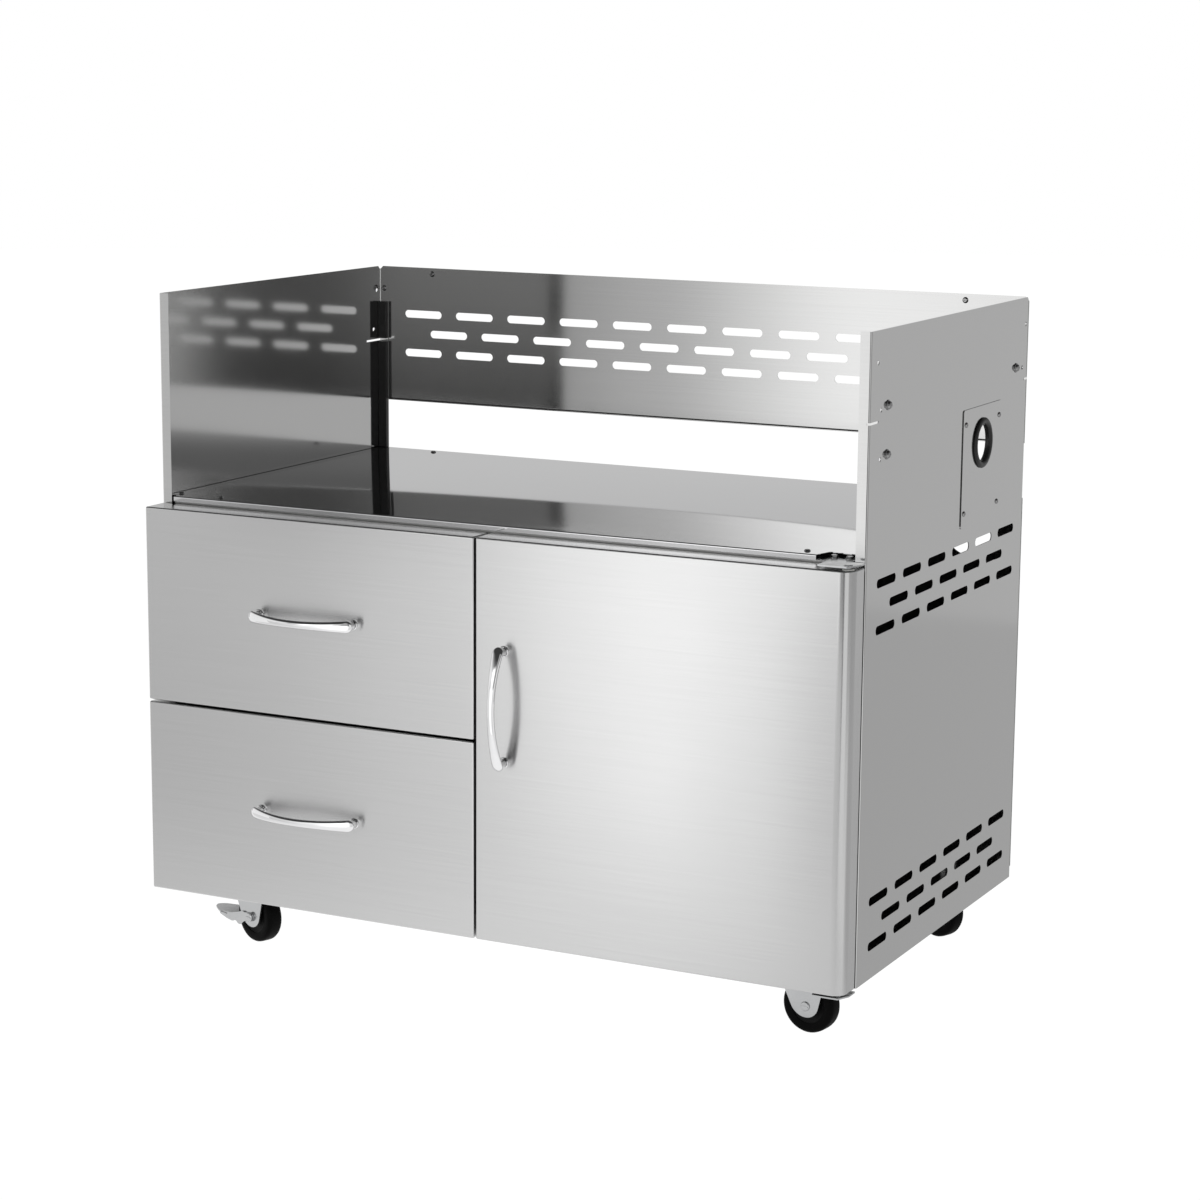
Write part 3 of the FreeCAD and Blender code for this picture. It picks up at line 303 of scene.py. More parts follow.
def plated_metal(name, colour, roughness, mottle):
    """Zinc, chrome or plain screw steel: a bright metal with a faint mottle."""
    material, tree, shader = new_material(name)
    mottling = object_noise(tree, (1, 1, 1), 60.0, 3.0)
    looks = {"Metallic": 1.0, "Base Color": shaded(tree, mottling, colour, mottle)}
    looks["Roughness"] = ranged(tree, mottling, (roughness * 0.8, roughness * 1.25))
    set_inputs(tree, shader, looks)
    return material


def moulded(name, colour, roughness, shine):
    """Rubber or plastic with a fine moulded skin."""
    material, tree, shader = new_material(name)
    skin = object_noise(tree, (1, 1, 1), 400.0, 2.0)
    relief = {"Strength": 1.0, "Distance": SKIN_RELIEF, "Height": skin}
    looks = {"Specular IOR Level": shine, "Base Color": shaded(tree, skin, colour, 0.15)}
    looks["Roughness"] = ranged(tree, skin, (roughness * 0.9, roughness * 1.1))
    looks["Normal"] = add_node(tree, "ShaderNodeBump", relief).outputs["Normal"]
    set_inputs(tree, shader, looks)
    return material


MATERIALS = {}


def material_of(slot):
    """The finish of a material slot of the record, made once."""
    if slot in MATERIALS:
        return MATERIALS[slot]
    finish = bpy.context.scene.cart_finish
    colour = getattr(finish, slot)
    brushed = {
        "brushed_panel": (finish.panel_roughness, 0.35, Z),
        "front_steel": (finish.front_roughness, 0.85, Z),
        "polished_deck": (finish.deck_roughness, 0.0, Y),
        "inner_steel": (0.3, 0.3, Z),
    }
    if slot in brushed:
        made = brushed_steel(slot, colour, *brushed[slot])
    elif slot in PLATED:
        made = plated_metal(slot, colour, *PLATED[slot])
    else:
        made = moulded(slot, colour, *MOULDED[slot])
    MATERIALS[slot] = made
    return made


# Mesh shorthand

# A face whose normal has a part above this lies square to an axis and is shaded flat.
SQUARE_TO_AXIS = 0.99999
FOLD_STEPS = 4


def placed(name, bm):
    """A new object of the scene with the drawn mesh."""
    mesh = bpy.data.meshes.new(name)
    bm.to_mesh(mesh)
    bm.free()
    made = bpy.data.objects.new(name, mesh)
    bpy.context.scene.collection.objects.link(made)
    return made


def axes_turn(side, up, out):
    """The turn that takes X, Y and Z to three directions."""
    return Matrix((side, up, out)).transposed().to_4x4()


def beside(axis):
    """An axis of the cart that is square to the given one."""
    return X if abs(axis.x) < 0.5 else Z


def edge_middle(edge):
    """The point halfway along an edge."""
    return (edge.verts[0].co + edge.verts[1].co) / 2


def edge_run(edge):
    """The step from one end of an edge to the other."""
    return edge.verts[0].co - edge.verts[1].co


def verts_of(items):
    """The vertices among what a mesh operation made."""
    return [item for item in items if isinstance(item, bmesh.types.BMVert)]


def edges_of(items):
    """The edges among what a mesh operation made."""
    return [item for item in items if isinstance(item, bmesh.types.BMEdge)]


def bevelled(bm, edges, offset, segments, **more):
    """Rounds edges, or the corners of a flat outline."""
    settings = {"affect": "EDGES", "profile": 0.5, "material": -1, **more}
    bmesh.ops.bevel(bm, geom=list(edges), offset=offset, segments=segments, **settings)


def make_piece(name, bm, slot, body, stands_for=(), sharp=30.0, place=None):
    """Turns a drawing in millimetres into a finished piece that rides on its body."""
    if place is not None:
        bmesh.ops.transform(bm, matrix=place, verts=bm.verts)
    bmesh.ops.transform(bm, matrix=TO_FLOOR_FRAME, verts=bm.verts)
    bmesh.ops.recalc_face_normals(bm, faces=bm.faces)
    piece = placed(name, bm)
    piece.data.set_sharp_from_angle(angle=math.radians(sharp))
    for face in piece.data.polygons:
        face.use_smooth = max(abs(part) for part in face.normal) < SQUARE_TO_AXIS
    piece.data.materials.append(material_of(slot))
    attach(piece, body)
    if stands_for:
        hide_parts(*stands_for)


def outline(bm, points):
    """A closed loop of edges through the points."""
    corners = [bm.verts.new(point) for point in points]
    return [bm.edges.new(pair) for pair in zip(corners, corners[1:] + corners[:1])]


def round_hole(bm, centre, out, radius, length=0.0, along=X, steps=16):
    """The edge loop of a round hole, or of a slot as long as length."""
    turn = axes_turn(along, out.cross(along), out)
    place = Matrix.Translation(centre) @ turn @ Matrix.Rotation(math.pi / steps, 4, "Z")
    made = bmesh.ops.create_circle(bm, cap_ends=False, segments=steps, radius=radius, matrix=place)
    if length:
        for side in (-1, 1):
            end = [v for v in made["verts"] if (v.co - centre).dot(along) * side > 0]
            bmesh.ops.translate(bm, verts=end, vec=along * (side * (length / 2 - radius)))
    return list({edge for vert in made["verts"] for edge in vert.link_edges})


def vent_slots(bm, centre, along, out, long_row):
    """Three staggered rows of round-ended slots."""
    edges = []
    for row, count in ((1, long_row), (0, long_row - 1), (-1, long_row)):
        for slot in range(count):
            step = along * ((slot - (count - 1) / 2) * SLOT_PITCH) + Z * (row * ROW_PITCH)
            edges += round_hole(bm, centre + step, out, SLOT_HEIGHT / 2, SLOT_LENGTH, along, 12)
    return edges


def fill_face(bm, edges, normal):
    """Fills an outline, round the holes in it."""
    bmesh.ops.triangle_fill(bm, use_beauty=True, use_dissolve=False, edges=edges, normal=normal)


def open_edges(bm, test):
    """The free edges of the sheet whose middles pass a test."""
    return [edge for edge in bm.edges if edge.is_boundary and test(edge_middle(edge))]


def fold_edges(bm, edges, centre, axis, degrees):
    """Rolls a free edge of the sheet round a fold and returns the new free edge."""
    geometry = edges + list({vert for edge in edges for vert in edge.verts})
    turn = {"cent": centre, "axis": axis, "angle": math.radians(degrees)}
    return edges_of(bmesh.ops.spin(bm, geom=geometry, steps=FOLD_STEPS, **turn)["geom_last"])


def pull_edges(bm, edges, step):
    """Draws a free edge of the sheet out by step and returns the new free edge."""
    made = bmesh.ops.extrude_edge_only(bm, edges=edges)["geom"]
    moved = verts_of(made)
    bmesh.ops.translate(bm, verts=moved, vec=step)
    return [edge for edge in edges_of(made) if all(vert in moved for vert in edge.verts)]


def give_thickness(bm, inward, thickness):
    """Thickens an open sheet; inward points from its largest face into the metal."""
    bmesh.ops.remove_doubles(bm, verts=bm.verts, dist=0.01)
    bmesh.ops.recalc_face_normals(bm, faces=bm.faces)
    largest = max(bm.faces, key=lambda face: face.calc_area())
    if largest.normal.dot(inward) > 0:
        bmesh.ops.reverse_faces(bm, faces=bm.faces)
    bmesh.ops.solidify(bm, geom=bm.faces[:], thickness=thickness)


def turned(bm, profile, centre, axis, steps):
    """A turned piece: profile is pairs of radius and height along axis from centre."""
    axis = Vector(axis).normalized()
    side = beside(axis)
    verts = [bm.verts.new(centre + side * radius + axis * height) for radius, height in profile]
    edges = [bm.edges.new(pair) for pair in zip(verts, verts[1:])]
    turn = {"cent": centre, "axis": axis, "angle": math.tau, "use_merge": True}
    bmesh.ops.spin(bm, geom=verts + edges, steps=steps, **turn)
    bmesh.ops.remove_doubles(bm, verts=bm.verts, dist=0.001)


def rounded_block(bm, low, high, radius=0.0, segments=2, only=None):
    """A block between two corners, with its edges or those whose middles pass a test rounded."""
    low, high = Vector(low), Vector(high)
    matrix = Matrix.Translation((low + high) / 2) @ Matrix.Diagonal((*(high - low), 1))
    made = bmesh.ops.create_cube(bm, size=1.0, matrix=matrix)
    edges = list({edge for vert in made["verts"] for edge in vert.link_edges})
    if only is not None:
        edges = [edge for edge in edges if only(edge_middle(edge))]
    if radius:
        bevelled(bm, edges, radius, segments)


def stamped(bm, corners, step):
    """A flat plate with the given outline, as thick as step; returns the edges across it."""
    face = bm.faces.new([bm.verts.new(corner) for corner in corners])
    moved = verts_of(bmesh.ops.extrude_face_region(bm, geom=[face])["geom"])
    bmesh.ops.translate(bm, verts=moved, vec=step)
    return {edge for vert in moved for edge in vert.link_edges if abs(edge_run(edge).dot(step)) > 0.1}


def hexagon_head(bm, seat, out, across, height):
    """A bolt head or nut with its corners turned off."""
    side = beside(out)
    place = Matrix.Translation(seat + out * (height / 2)) @ axes_turn(side, out.cross(side), out)
    radius = across / math.sqrt(3)
    prism = {"segments": 6, "radius1": radius, "radius2": radius, "depth": height}
    made = bmesh.ops.create_cone(bm, cap_ends=True, cap_tris=False, matrix=place, **prism)
    rims = {e for v in made["verts"] for e in v.link_edges if abs(edge_run(e).dot(out)) < 0.01}
    bevelled(bm, rims, 0.5, 1)


def pan_head(bm, seat, out, radius=4.5, height=2.4):
    """A domed screw head on its rim, with a cross recess."""
    profile = [
        (0, height - 1.3),
        (0.5, height - 1.3),
        (1.5, height - 0.05),
        (radius * 0.55, height),
        (radius * 0.82, height * 0.72),
        (radius * 0.95, height * 0.3),
        (radius, 0.0),
        (radius * 0.6, -0.2),
    ]
    first = len(bm.verts)
    turned(bm, profile, seat, out, 16)
    bm.verts.ensure_lookup_table()
    for vert in bm.verts[first:]:
        step = vert.co - seat
        rise = step.dot(out)
        flat = step - out * rise
        if 1.2 < flat.length < 1.8 and rise > height - 0.4:
            side = beside(out)
            angle = math.atan2(flat.dot(out.cross(side)), flat.dot(side))
            lobe = math.cos(4 * angle)
            vert.co = seat + out * rise + flat * (1.25 if lobe > 0.5 else 0.45)


# Sheet metal


def slit_corners(y, way, length):
    """The relief slit that runs in from an upright edge at y, as pairs of y and height."""
    if not length:
        return []
    inner = y + way * (length - FOLD)
    return [(y, SLIT_LOW), (inner, SLIT_LOW), (inner, SLIT_TOP), (y, SLIT_TOP)]


def slit_verts(rim):
    """The vertices of a free edge at the slit, from the lower up."""
    verts = {v for edge in rim for v in edge.verts if SLIT_LOW - 0.01 < v.co.z < SLIT_TOP + 0.01}
    return sorted(verts, key=lambda vert: vert.co.z)


def plate_outline(bm, x, margin):
    """A rectangle smaller than the access plate by a margin all round."""
    y0, y1 = PLATE_Y[0] + margin, PLATE_Y[1] - margin
    z0, z1 = PLATE_Z[0] + margin, PLATE_Z[1] - margin
    return outline(bm, [(x, y0, z0), (x, y1, z0), (x, y1, z1), (x, y0, z1)])


def fold_upright(bm, y, way):
    """Folds an upright edge of the web in; the slit runs on round the fold and is closed behind it."""
    rim = open_edges(bm, lambda m: abs(m.y - y) < 0.01)
    rim = fold_edges(bm, rim, (-FOLD, y, 0), Z, -90 * way)
    rim = pull_edges(bm, rim, X * -SLIT_WRAP)
    bmesh.ops.remove_doubles(bm, verts=slit_verts(rim), dist=0.001)
    ends = slit_verts(rim)
    if len(ends) == 2:
        rim.append(bm.edges.new(ends))
    rim = pull_edges(bm, rim, X * (FOLD + 2 * SLIT_WRAP - FLANGE))
    strip = {face for edge in rim for face in edge.link_faces}
    parts = [*strip, *rim, *{v for f in strip for v in f.verts}, *{e for f in strip for e in f.edges}]
    cut = {"plane_co": (0, 0, LIP_TOP), "plane_no": Z, "dist": 0.001}
    bmesh.ops.bisect_plane(bm, geom=list(dict.fromkeys(parts)), **cut)


def side_panel(name, side, node):
    """A side panel: slotted web with slits, and upright edges folded in."""
    bm = bmesh.new()
    near, far = FOLD, DEPTH - FOLD
    front_slit, rear_slit = SLIT_LENGTHS[side]
    web = [(near, 0), (far, 0), *slit_corners(far, -1, rear_slit)]
    web += [(far, HEIGHT - PANEL_CLIP), (far - PANEL_CLIP, HEIGHT), (near, HEIGHT)]
    web += slit_corners(near, 1, front_slit)[::-1]
    edges = outline(bm, [(0, y, z) for y, z in web])
    for z in VENT_ROWS_Z:
        edges += vent_slots(bm, Vector((0, DEPTH / 2, z)), Y, X, SIDE_ROW)
    for y, z in REAR_HOLES + (FRONT_HOLES if side > 0 else ()):
        edges += round_hole(bm, Vector((0, y, z)), X, HOLE_RADIUS, along=Y, steps=12)
    if side > 0:
        edges += plate_outline(bm, 0, PLATE_MARGIN)
    fill_face(bm, edges, X)
    fold_upright(bm, near, 1)
    fold_upright(bm, far, -1)
    give_thickness(bm, X * -1, SHEET)
    if side < 0:
        bmesh.ops.scale(bm, vec=(-1, 1, 1), verts=bm.verts)
    bmesh.ops.translate(bm, verts=bm.verts, vec=X * (side * WIDTH / 2))
    make_piece(name, bm, "brushed_panel", "root", (node,))


class CART_OT_side_panels(bpy.types.Operator):
    """Fold and punch the two side panels, and set dark rubber strips of painted shade in their rear
    channels and in the door's gap
    """

    bl_idname = "cart.side_panels"
    bl_label = "Side panels"

    def execute(self, context):
        side_panel("folded_side_left", -1, "side_panel_left")
        side_panel("folded_side_right", 1, "side_panel_right")
        # Dark rubber strips of painted shade in the rear channel between each panel and its lip, where
        # there is only shadow.
        bm = bmesh.new()
        channel = (WIDTH / 2 - SHEET - 0.2, WIDTH / 2 - FLANGE + SHEET + 0.2)
        for side in (-1, 1):
            near, far = sorted(side * x for x in channel)
            for low, high in ((DECK_TOP + 0.5, SLIT_LOW - 1), (SLIT_TOP + 1, LIP_TOP - 1)):
                block = (near, DEPTH - LIP + 0.4, low), (far, DEPTH - SHEET - 0.2, high)
                rounded_block(bm, *block, 0.6)
        make_piece("channel_seals", bm, "grommet_rubber", "root")
        # A dark rubber strip of painted shade in the gap between the door and the right panel, where there
        # is only shadow.
        bm = bmesh.new()
        rounded_block(bm, (WIDTH / 2 - 11, -0.9, 0.5), (WIDTH / 2 - SHEET, -0.05, FRONT_TOP - 6), 0.3)
        make_piece("door_gap_seal", bm, "grommet_rubber", "root")
        return {"FINISHED"}


class CART_OT_back_panel(bpy.types.Operator):
    """Punch the slotted back panel and fold its hem"""

    bl_idname = "cart.back_panel"
    bl_label = "Slotted back panel"

    def execute(self, context):
        bm = bmesh.new()
        half = WIDTH / 2
        low = BACK_LOW + FOLD
        hem = half - FLANGE - 1
        face_y = DEPTH + SKIN
        corners = [(-half, low), (-hem, low), (hem, low), (half, low)]
        corners += [(half, HEIGHT - BACK_CLIP), (half - BACK_CLIP, HEIGHT)]
        corners += [(BACK_CLIP - half, HEIGHT), (-half, HEIGHT - BACK_CLIP)]
        edges = outline(bm, [(x, face_y, z) for x, z in corners])
        edges += vent_slots(bm, Vector((0, face_y, BACK_SLOTS_Z)), X, Y, BACK_ROW)
        fill_face(bm, edges, Y)
        rim = open_edges(bm, lambda m: abs(m.z - low) < 0.01 and abs(m.x) < hem)
        rim = fold_edges(bm, rim, (0, face_y - FOLD, low), X, -90)
        pull_edges(bm, rim, Y * (FOLD - BACK_HEM))
        for side in (-1, 1):
            rim = open_edges(bm, lambda m: abs(m.z - low) < 0.01 and m.x * side > hem)
            pull_edges(bm, rim, Z * -FOLD)
        give_thickness(bm, Y * -1, SKIN)
        make_piece("slotted_back", bm, "brushed_panel", "root", ("upper_back_panel",))
        return {"FINISHED"}


class CART_OT_deck(bpy.types.Operator):
    """Fold the deck, notch it for the hinge, and bow its sheet a little"""

    bl_idname = "cart.deck"
    bl_label = "Deck"

    def execute(self, context):
        bm = bmesh.new()
        span = WIDTH / 2 - FLANGE - 1
        side = WIDTH / 2 - SHEET - 2.0
        near, far = 0.2 + DECK_FOLD, DEPTH - SHEET - 0.2 - DECK_FOLD
        wing_near, wing_far = LIP + 2, DEPTH - LIP - 2
        corners = [(-span, near), (460, near), (468, 28), (side, 28), (side, wing_far), (span, wing_far)]
        corners += [(span, far), (-span, far), (-span, wing_far), (-side, wing_far)]
        corners += [(-side, wing_near), (-span, wing_near)]
        fill_face(bm, outline(bm, [(x, y, DECK_TOP) for x, y in corners]), Z)
        cuts = [((x, 0, 0), X) for x in (*range(-500, 501, 25), -508, 508)]
        cuts += [((0, y, 0), Y) for y in (3, *range(15, 580, 20), 584)]
        for place, normal in cuts:
            whole = bm.verts[:] + bm.edges[:] + bm.faces[:]
            bmesh.ops.bisect_plane(bm, geom=whole, plane_co=place, plane_no=normal, dist=0.001)
        for y, way in ((near, 1), (far, -1)):
            rim = open_edges(bm, lambda m: abs(m.y - y) < 0.01)
            rim = fold_edges(bm, rim, (0, y, DECK_TOP - DECK_FOLD), X, 90 * way)
            rim = pull_edges(bm, rim, Z * (RAIL_TOP - DECK_TOP + DECK_FOLD))
            pull_edges(bm, rim, Y * (way * DECK_HEM))
        give_thickness(bm, Z * -1, SHEET)
        crown = context.scene.cart_shape.deck_crown
        for vert in bm.verts:
            if vert.co.z > DECK_TOP - SHEET - 0.1:
                reach = CROWN_RIGHT if vert.co.x > CROWN_X else CROWN_LEFT
                u = max(0.0, 1 - ((vert.co.x - CROWN_X) / reach) ** 2)
                v = max(0.0, 1 - ((vert.co.y - DEPTH / 2) / (DEPTH / 2 - 4)) ** 2)
                vert.co.z += crown * u * v
        make_piece("deck_sheet", bm, "polished_deck", "root", ("deck",))
        return {"FINISHED"}


def hollow_front(bm, x_ends, z_ends, corner=0):
    """A pressed front, open behind, whose right upright edge may have a larger radius."""
    (x0, x1), (z0, z1) = x_ends, z_ends
    rounded_block(bm, (x0, FRONT_FACE, z0), (x1, FRONT_BACK, z1))
    if corner:
        corner_verts = [v for v in bm.verts if v.co.x > x1 - 0.1 and v.co.y < FRONT_FACE + 0.1]
        upright = [e for e in bm.edges if all(vert in corner_verts for vert in e.verts)]
        bevelled(bm, upright, corner, 14)
    behind = [face for face in bm.faces if face.calc_center_median().y > FRONT_BACK - 0.1]
    bmesh.ops.delete(bm, geom=behind, context="FACES")
    folds = [e for e in bm.edges if len(e.link_faces) == 2 and e.calc_face_angle() > 1.0]
    if corner:
        folds = [e for e in folds if abs(edge_run(e).z) < 5 or e.verts[0].co.x < x1 - 30]
    bevelled(bm, folds, bpy.context.scene.cart_shape.edge_round, 4)
    give_thickness(bm, Y, SKIN)


class CART_OT_drawer_fronts(bpy.types.Operator):
    """Press the fronts of the two drawers"""

    bl_idname = "cart.drawer_fronts"
    bl_label = "Drawer fronts"

    def execute(self, context):
        for name, z_ends in DRAWER_Z.items():
            bm = bmesh.new()
            hollow_front(bm, DRAWER_X, z_ends)
            make_piece(name + "_front", bm, "front_steel", name + "_drawer", (name + "_drawer_front",))
        return {"FINISHED"}


class CART_OT_door(bpy.types.Operator):
    """Press the door with its round upright corner"""

    bl_idname = "cart.door"
    bl_label = "Door"

    def execute(self, context):
        bm = bmesh.new()
        hollow_front(bm, DOOR_X, (0, FRONT_TOP), context.scene.cart_shape.door_corner)
        make_piece("door_front", bm, "front_steel", "door", ("door_skin",))
        return {"FINISHED"}


# Handles


def bow(bm, centre, along):
    """A bow handle's bar: arched, narrow in the middle, wide and round at its ends."""
    shape = bpy.context.scene.cart_shape
    across = along.cross(Y)
    shoulder = HANDLE_CENTRES / 2 / HANDLE_HALF
    rise = HANDLE_REACH - HANDLE_TIP
    loops = []
    for station in range(BOW_STATIONS + 1):
        u = -math.cos(math.pi * station / BOW_STATIONS) * 0.9995
        beyond = max(0.0, abs(u) - shoulder) / (1 - shoulder)
        taper = math.sqrt(max(0.0, 1 - beyond**2))
        swell = min(1.0, abs(u) / shoulder) ** 2
        half_width = (shape.handle_waist + (shape.handle_shoulder - shape.handle_waist) * swell) * taper
        half_thick = shape.handle_thick / 2 * (1 - 0.15 * abs(u))
        slope = math.atan2(-2 * rise * u, HANDLE_HALF)
        place = centre + along * (u * HANDLE_HALF) - Y * (HANDLE_REACH - rise * u * u - half_thick)
        ahead = along * math.cos(slope) - Y * math.sin(slope)
        turn = axes_turn(across, ahead.cross(across), ahead)
        loop = bmesh.ops.create_circle(bm, cap_ends=False, segments=32, radius=1.0)["verts"]
        for vert in loop:
            vert.co.x *= max(half_width, 0.04)
            vert.co.y *= max(half_thick * taper**0.6, 0.04)
        bmesh.ops.transform(bm, matrix=Matrix.Translation(place) @ turn, verts=loop)
        loops.append(loop)
    for pair in zip(loops, loops[1:]):
        edges = {e for loop in pair for v in loop for e in v.link_edges if e.other_vert(v) in loop}
        bmesh.ops.bridge_loops(bm, edges=list(edges))
    for end in (loops[0], loops[-1]):
        rim = {edge for vert in end for edge in vert.link_edges if edge.is_boundary}
        bmesh.ops.contextual_create(bm, geom=list(rim))


def post_feet(centre, along):
    """Where the two posts of a handle stand on the front."""
    return [centre + along * (side * HANDLE_CENTRES / 2) for side in (-1, 1)]


def posts(bm, centre, along):
    """The two posts of a handle, waisted between the front and the bow."""
    profile = [(0, 0), (6.0, 0), (5.7, 3.5), (5.6, 8), (5.8, 13), (6.2, 16.5), (5.6, 17.4), (0, 17.4)]
    for foot in post_feet(centre, along):
        turned(bm, profile, foot, Y * -1, 28)


def ring_feet(bm, centre, along):
    """The rings under the posts, and the screws that hold the handle from behind."""
    profile = [(6.02, 0), (7.5, 0), (7.5, 1.7), (7.2, 2.4), (6.6, 2.9), (6.02, 3.0), (6.02, 0)]
    for foot in post_feet(centre, along):
        turned(bm, profile, foot, Y * -1, 28)
        pan_head(bm, foot + Y * SKIN, Y, 5.0, 2.6)


class CART_OT_handles(bpy.types.Operator):
    """Make the three chromed bow handles with their feet"""

    bl_idname = "cart.handles"
    bl_label = "Handles"

    def execute(self, context):
        places = {
            "upper_drawer": (DRAWER_HANDLE_X, UPPER_HANDLE_Z, X, "upper_handle_fixings"),
            "lower_drawer": (DRAWER_HANDLE_X, LOWER_HANDLE_Z, X, "lower_handle_fixings"),
            "door": (*DOOR_HANDLE, Z, "door_handle_fixings"),
        }
        for body, (x, z, along, fixings) in places.items():
            centre = Vector((x, FRONT_FACE, z))
            bm = bmesh.new()
            bow(bm, centre, along)
            posts(bm, centre, along)
            make_piece(body + "_bow", bm, "handle_chrome", body, (body + "_handle",), sharp=50)
            bm = bmesh.new()
            ring_feet(bm, centre, along)
            make_piece(body + "_handle_feet", bm, "handle_chrome", body, (fixings,))
        return {"FINISHED"}


# Access plate, screws and hinges


class CART_OT_access_plate(bpy.types.Operator):
    """Make the screwed access plate and its rubber grommet"""

    bl_idname = "cart.access_plate"
    bl_label = "Access plate"

    def execute(self, context):
        face = WIDTH / 2
        bm = bmesh.new()
        plate_outline(bm, face + SHEET, 0)
        bevelled(bm, bm.verts, 4, 5, affect="VERTICES")
        edges = bm.edges[:]
        edges += round_hole(bm, Vector((face + SHEET, *GROMMET)), X, 31, along=Y, steps=40)
        fill_face(bm, edges, X)
        give_thickness(bm, X * -1, SHEET)
        make_piece("access_cover", bm, "brushed_panel", "root", ("access_plate",))
        bm = bmesh.new()
        ring = [(25.4, -3), (26.4, -4.6), (28.5, -5.6), (30.2, -5.2), (31, -4.2), (31, 0.6)]
        ring += [(33.6, 0.6), (34.4, 1.3), (34.3, 2.4), (33.2, 3.6), (31, 4.5), (28.6, 4.6)]
        ring += [(26.6, 3.8), (25.3, 2.2), (25, 0), (25.4, -3)]
        turned(bm, ring, Vector((face + SHEET / 2, *GROMMET)), X, 48)
        make_piece("grommet_ring", bm, "grommet_rubber", "root", ("access_grommet",), sharp=40)
        return {"FINISHED"}


class CART_OT_screws(bpy.types.Operator):
    """Set the screws of the deck, the back, the access plate and the bracket"""

    bl_idname = "cart.screws"
    bl_label = "Screws"

    def execute(self, context):
        bm = bmesh.new()
        for x, y in DECK_SCREWS:
            pan_head(bm, Vector((x, y, DECK_TOP - 0.3)), Z, 4.5, 2.6)
        for x, inset, z in BACK_SCREWS:
            pan_head(bm, Vector((x, DEPTH - inset, z)), Y * -1)
        for y in (PLATE_Y[0] + 10, PLATE_Y[1] - 10):
            for z in (PLATE_Z[0] + 20, PLATE_Z[1] - 20):
                pan_head(bm, Vector((WIDTH / 2 + SHEET, y, z)), X, 3.8, 2.0)
        make_piece("pan_screws", bm, "screw_steel", "root", ("panel_screws",))
        bm = bmesh.new()
        for y, z in BRACKET_BOLTS:
            seat = Vector((WIDTH / 2, y, z))
            turned(bm, [(0, 0), (6.6, 0), (6.6, 1.0), (6.2, 1.3), (0, 1.3)], seat, X, 20)
            pan_head(bm, seat + X * 1.3, X, 5.2, 3.6)
            hexagon_head(bm, seat - X * SHEET, X * -1, 10, 5)
            turned(bm, [(0, -13.6), (2.6, -13.6), (3, -13), (3, 0), (0, 0)], seat, X, 12)
        make_piece("bracket_screws", bm, "screw_steel", "root", ("bracket_bolts",))
        bm = bmesh.new()
        for x, y in HINGE_BOLTS:
            seat = Vector((x, y, RAIL_TOP + HINGE_PLATE))
            turned(bm, [(0, 0), (5.6, 0), (5.6, 0.7), (5.2, 0.9), (0, 0.9)], seat, Z, 20)
            hexagon_head(bm, seat + Z * 0.8, Z, 8, 2.6)
            turned(bm, [(0, 0), (2.5, 0), (2.5, -9.5), (0, -9.5)], seat, Z, 12)
        make_piece("hinge_bolt_heads", bm, "screw_steel", "root", ("hinge_plate_bolts",))
        return {"FINISHED"}


class CART_OT_hinges(bpy.types.Operator):
    """Turn the hinge pins and bushes"""

    bl_idname = "cart.hinges"
    bl_label = "Hinge pins"

    def execute(self, context):
        bm = bmesh.new()
        bushes = bmesh.new()
        pin = [(0, 1.2), (4.6, 1.2), (5.4, 0.6), (5.4, 0), (4, 0), (4, -13.6), (3.4, -14), (0, -14)]
        bush = [(4.06, 1), (7.6, 1), (8, 0.7), (8, 0), (6, 0), (6, -11), (4.06, -11), (4.06, 1)]
        ends = ((RAIL_TOP + HINGE_PLATE, FRONT_TOP, Z), (LOWER_PIN_Z, 0, Z * -1))
        for pin_z, door_z, out in ends:
            turned(bm, pin, Vector((*PIVOT, pin_z)), out, 20)
            turned(bushes, bush, Vector((*PIVOT, door_z)), out, 20)
        make_piece("hinge_pin_pair", bm, "zinc_plate", "root", ("hinge_pins",))
        make_piece("hinge_bush_pair", bushes, "bush_nylon", "door", ("hinge_bushes",))
        return {"FINISHED"}


# Casters


def caster_place(corner, turns=True):
    """Where a caster drawn about its swivel axis stands on the cart."""
    x, y, angle = CASTERS[corner]
    turn = Matrix.Rotation(math.radians(angle if turns else 0), 4, "Z")
    return Matrix.Translation((x, y, PAN_BASE)) @ turn


def fork_leg(bm, y):
    """One leg of the fork: wide at the crown and rounded under the axle."""
    corners = [(FORK_X[0], CROWN_Z), (TRAIL - 36, HUB_Z + 27), (TRAIL - 15, HUB_Z - 15)]
    corners += [(TRAIL + 15, HUB_Z - 15), (TRAIL + 25, HUB_Z + 25), (FORK_X[1], CROWN_Z)]
    across = stamped(bm, [(x, y, z) for x, z in corners], Y * FORK_WALL)
    bevelled(bm, [edge for edge in across if edge.verts[0].co.z < HUB_Z], 14, 8)


def fork(bm):
    """The fork: two legs under a crown, with the pressed ring of the swivel bearing."""
    reach = LEG_FACE + FORK_WALL
    for y in (LEG_FACE, -reach):
        fork_leg(bm, y)
    low, high = CROWN_Z - FORK_WALL, CROWN_Z
    rounded_block(bm, (FORK_X[0], -reach, low), (FORK_X[1], reach, high), 0.8)
    ring = [(5.06, high), (24, high), (25, -14.6), (25, -16), (24.2, low), (5.06, low), (5.06, high)]
    turned(bm, ring, Vector(), Z, 32)


def mirrored(half):
    """A section from one face of the wheel to the other, closed."""
    return half + [(radius, -y) for radius, y in half[::-1]] + half[:1]


# Sections as pairs of radius and distance from the wheel's middle plane.
TYRE_SECTION = mirrored([(24, 11.2), (28, 12), (33.4, 11.9), (35.8, 10.7), (37.1, 8.4), (37.5, 5.5)])
HUB_SECTION = mirrored([(4.06, 12), (8, 12), (9, 11.4), (9.6, 9), (20, 8), (22.6, 9.6), (24, 10)])


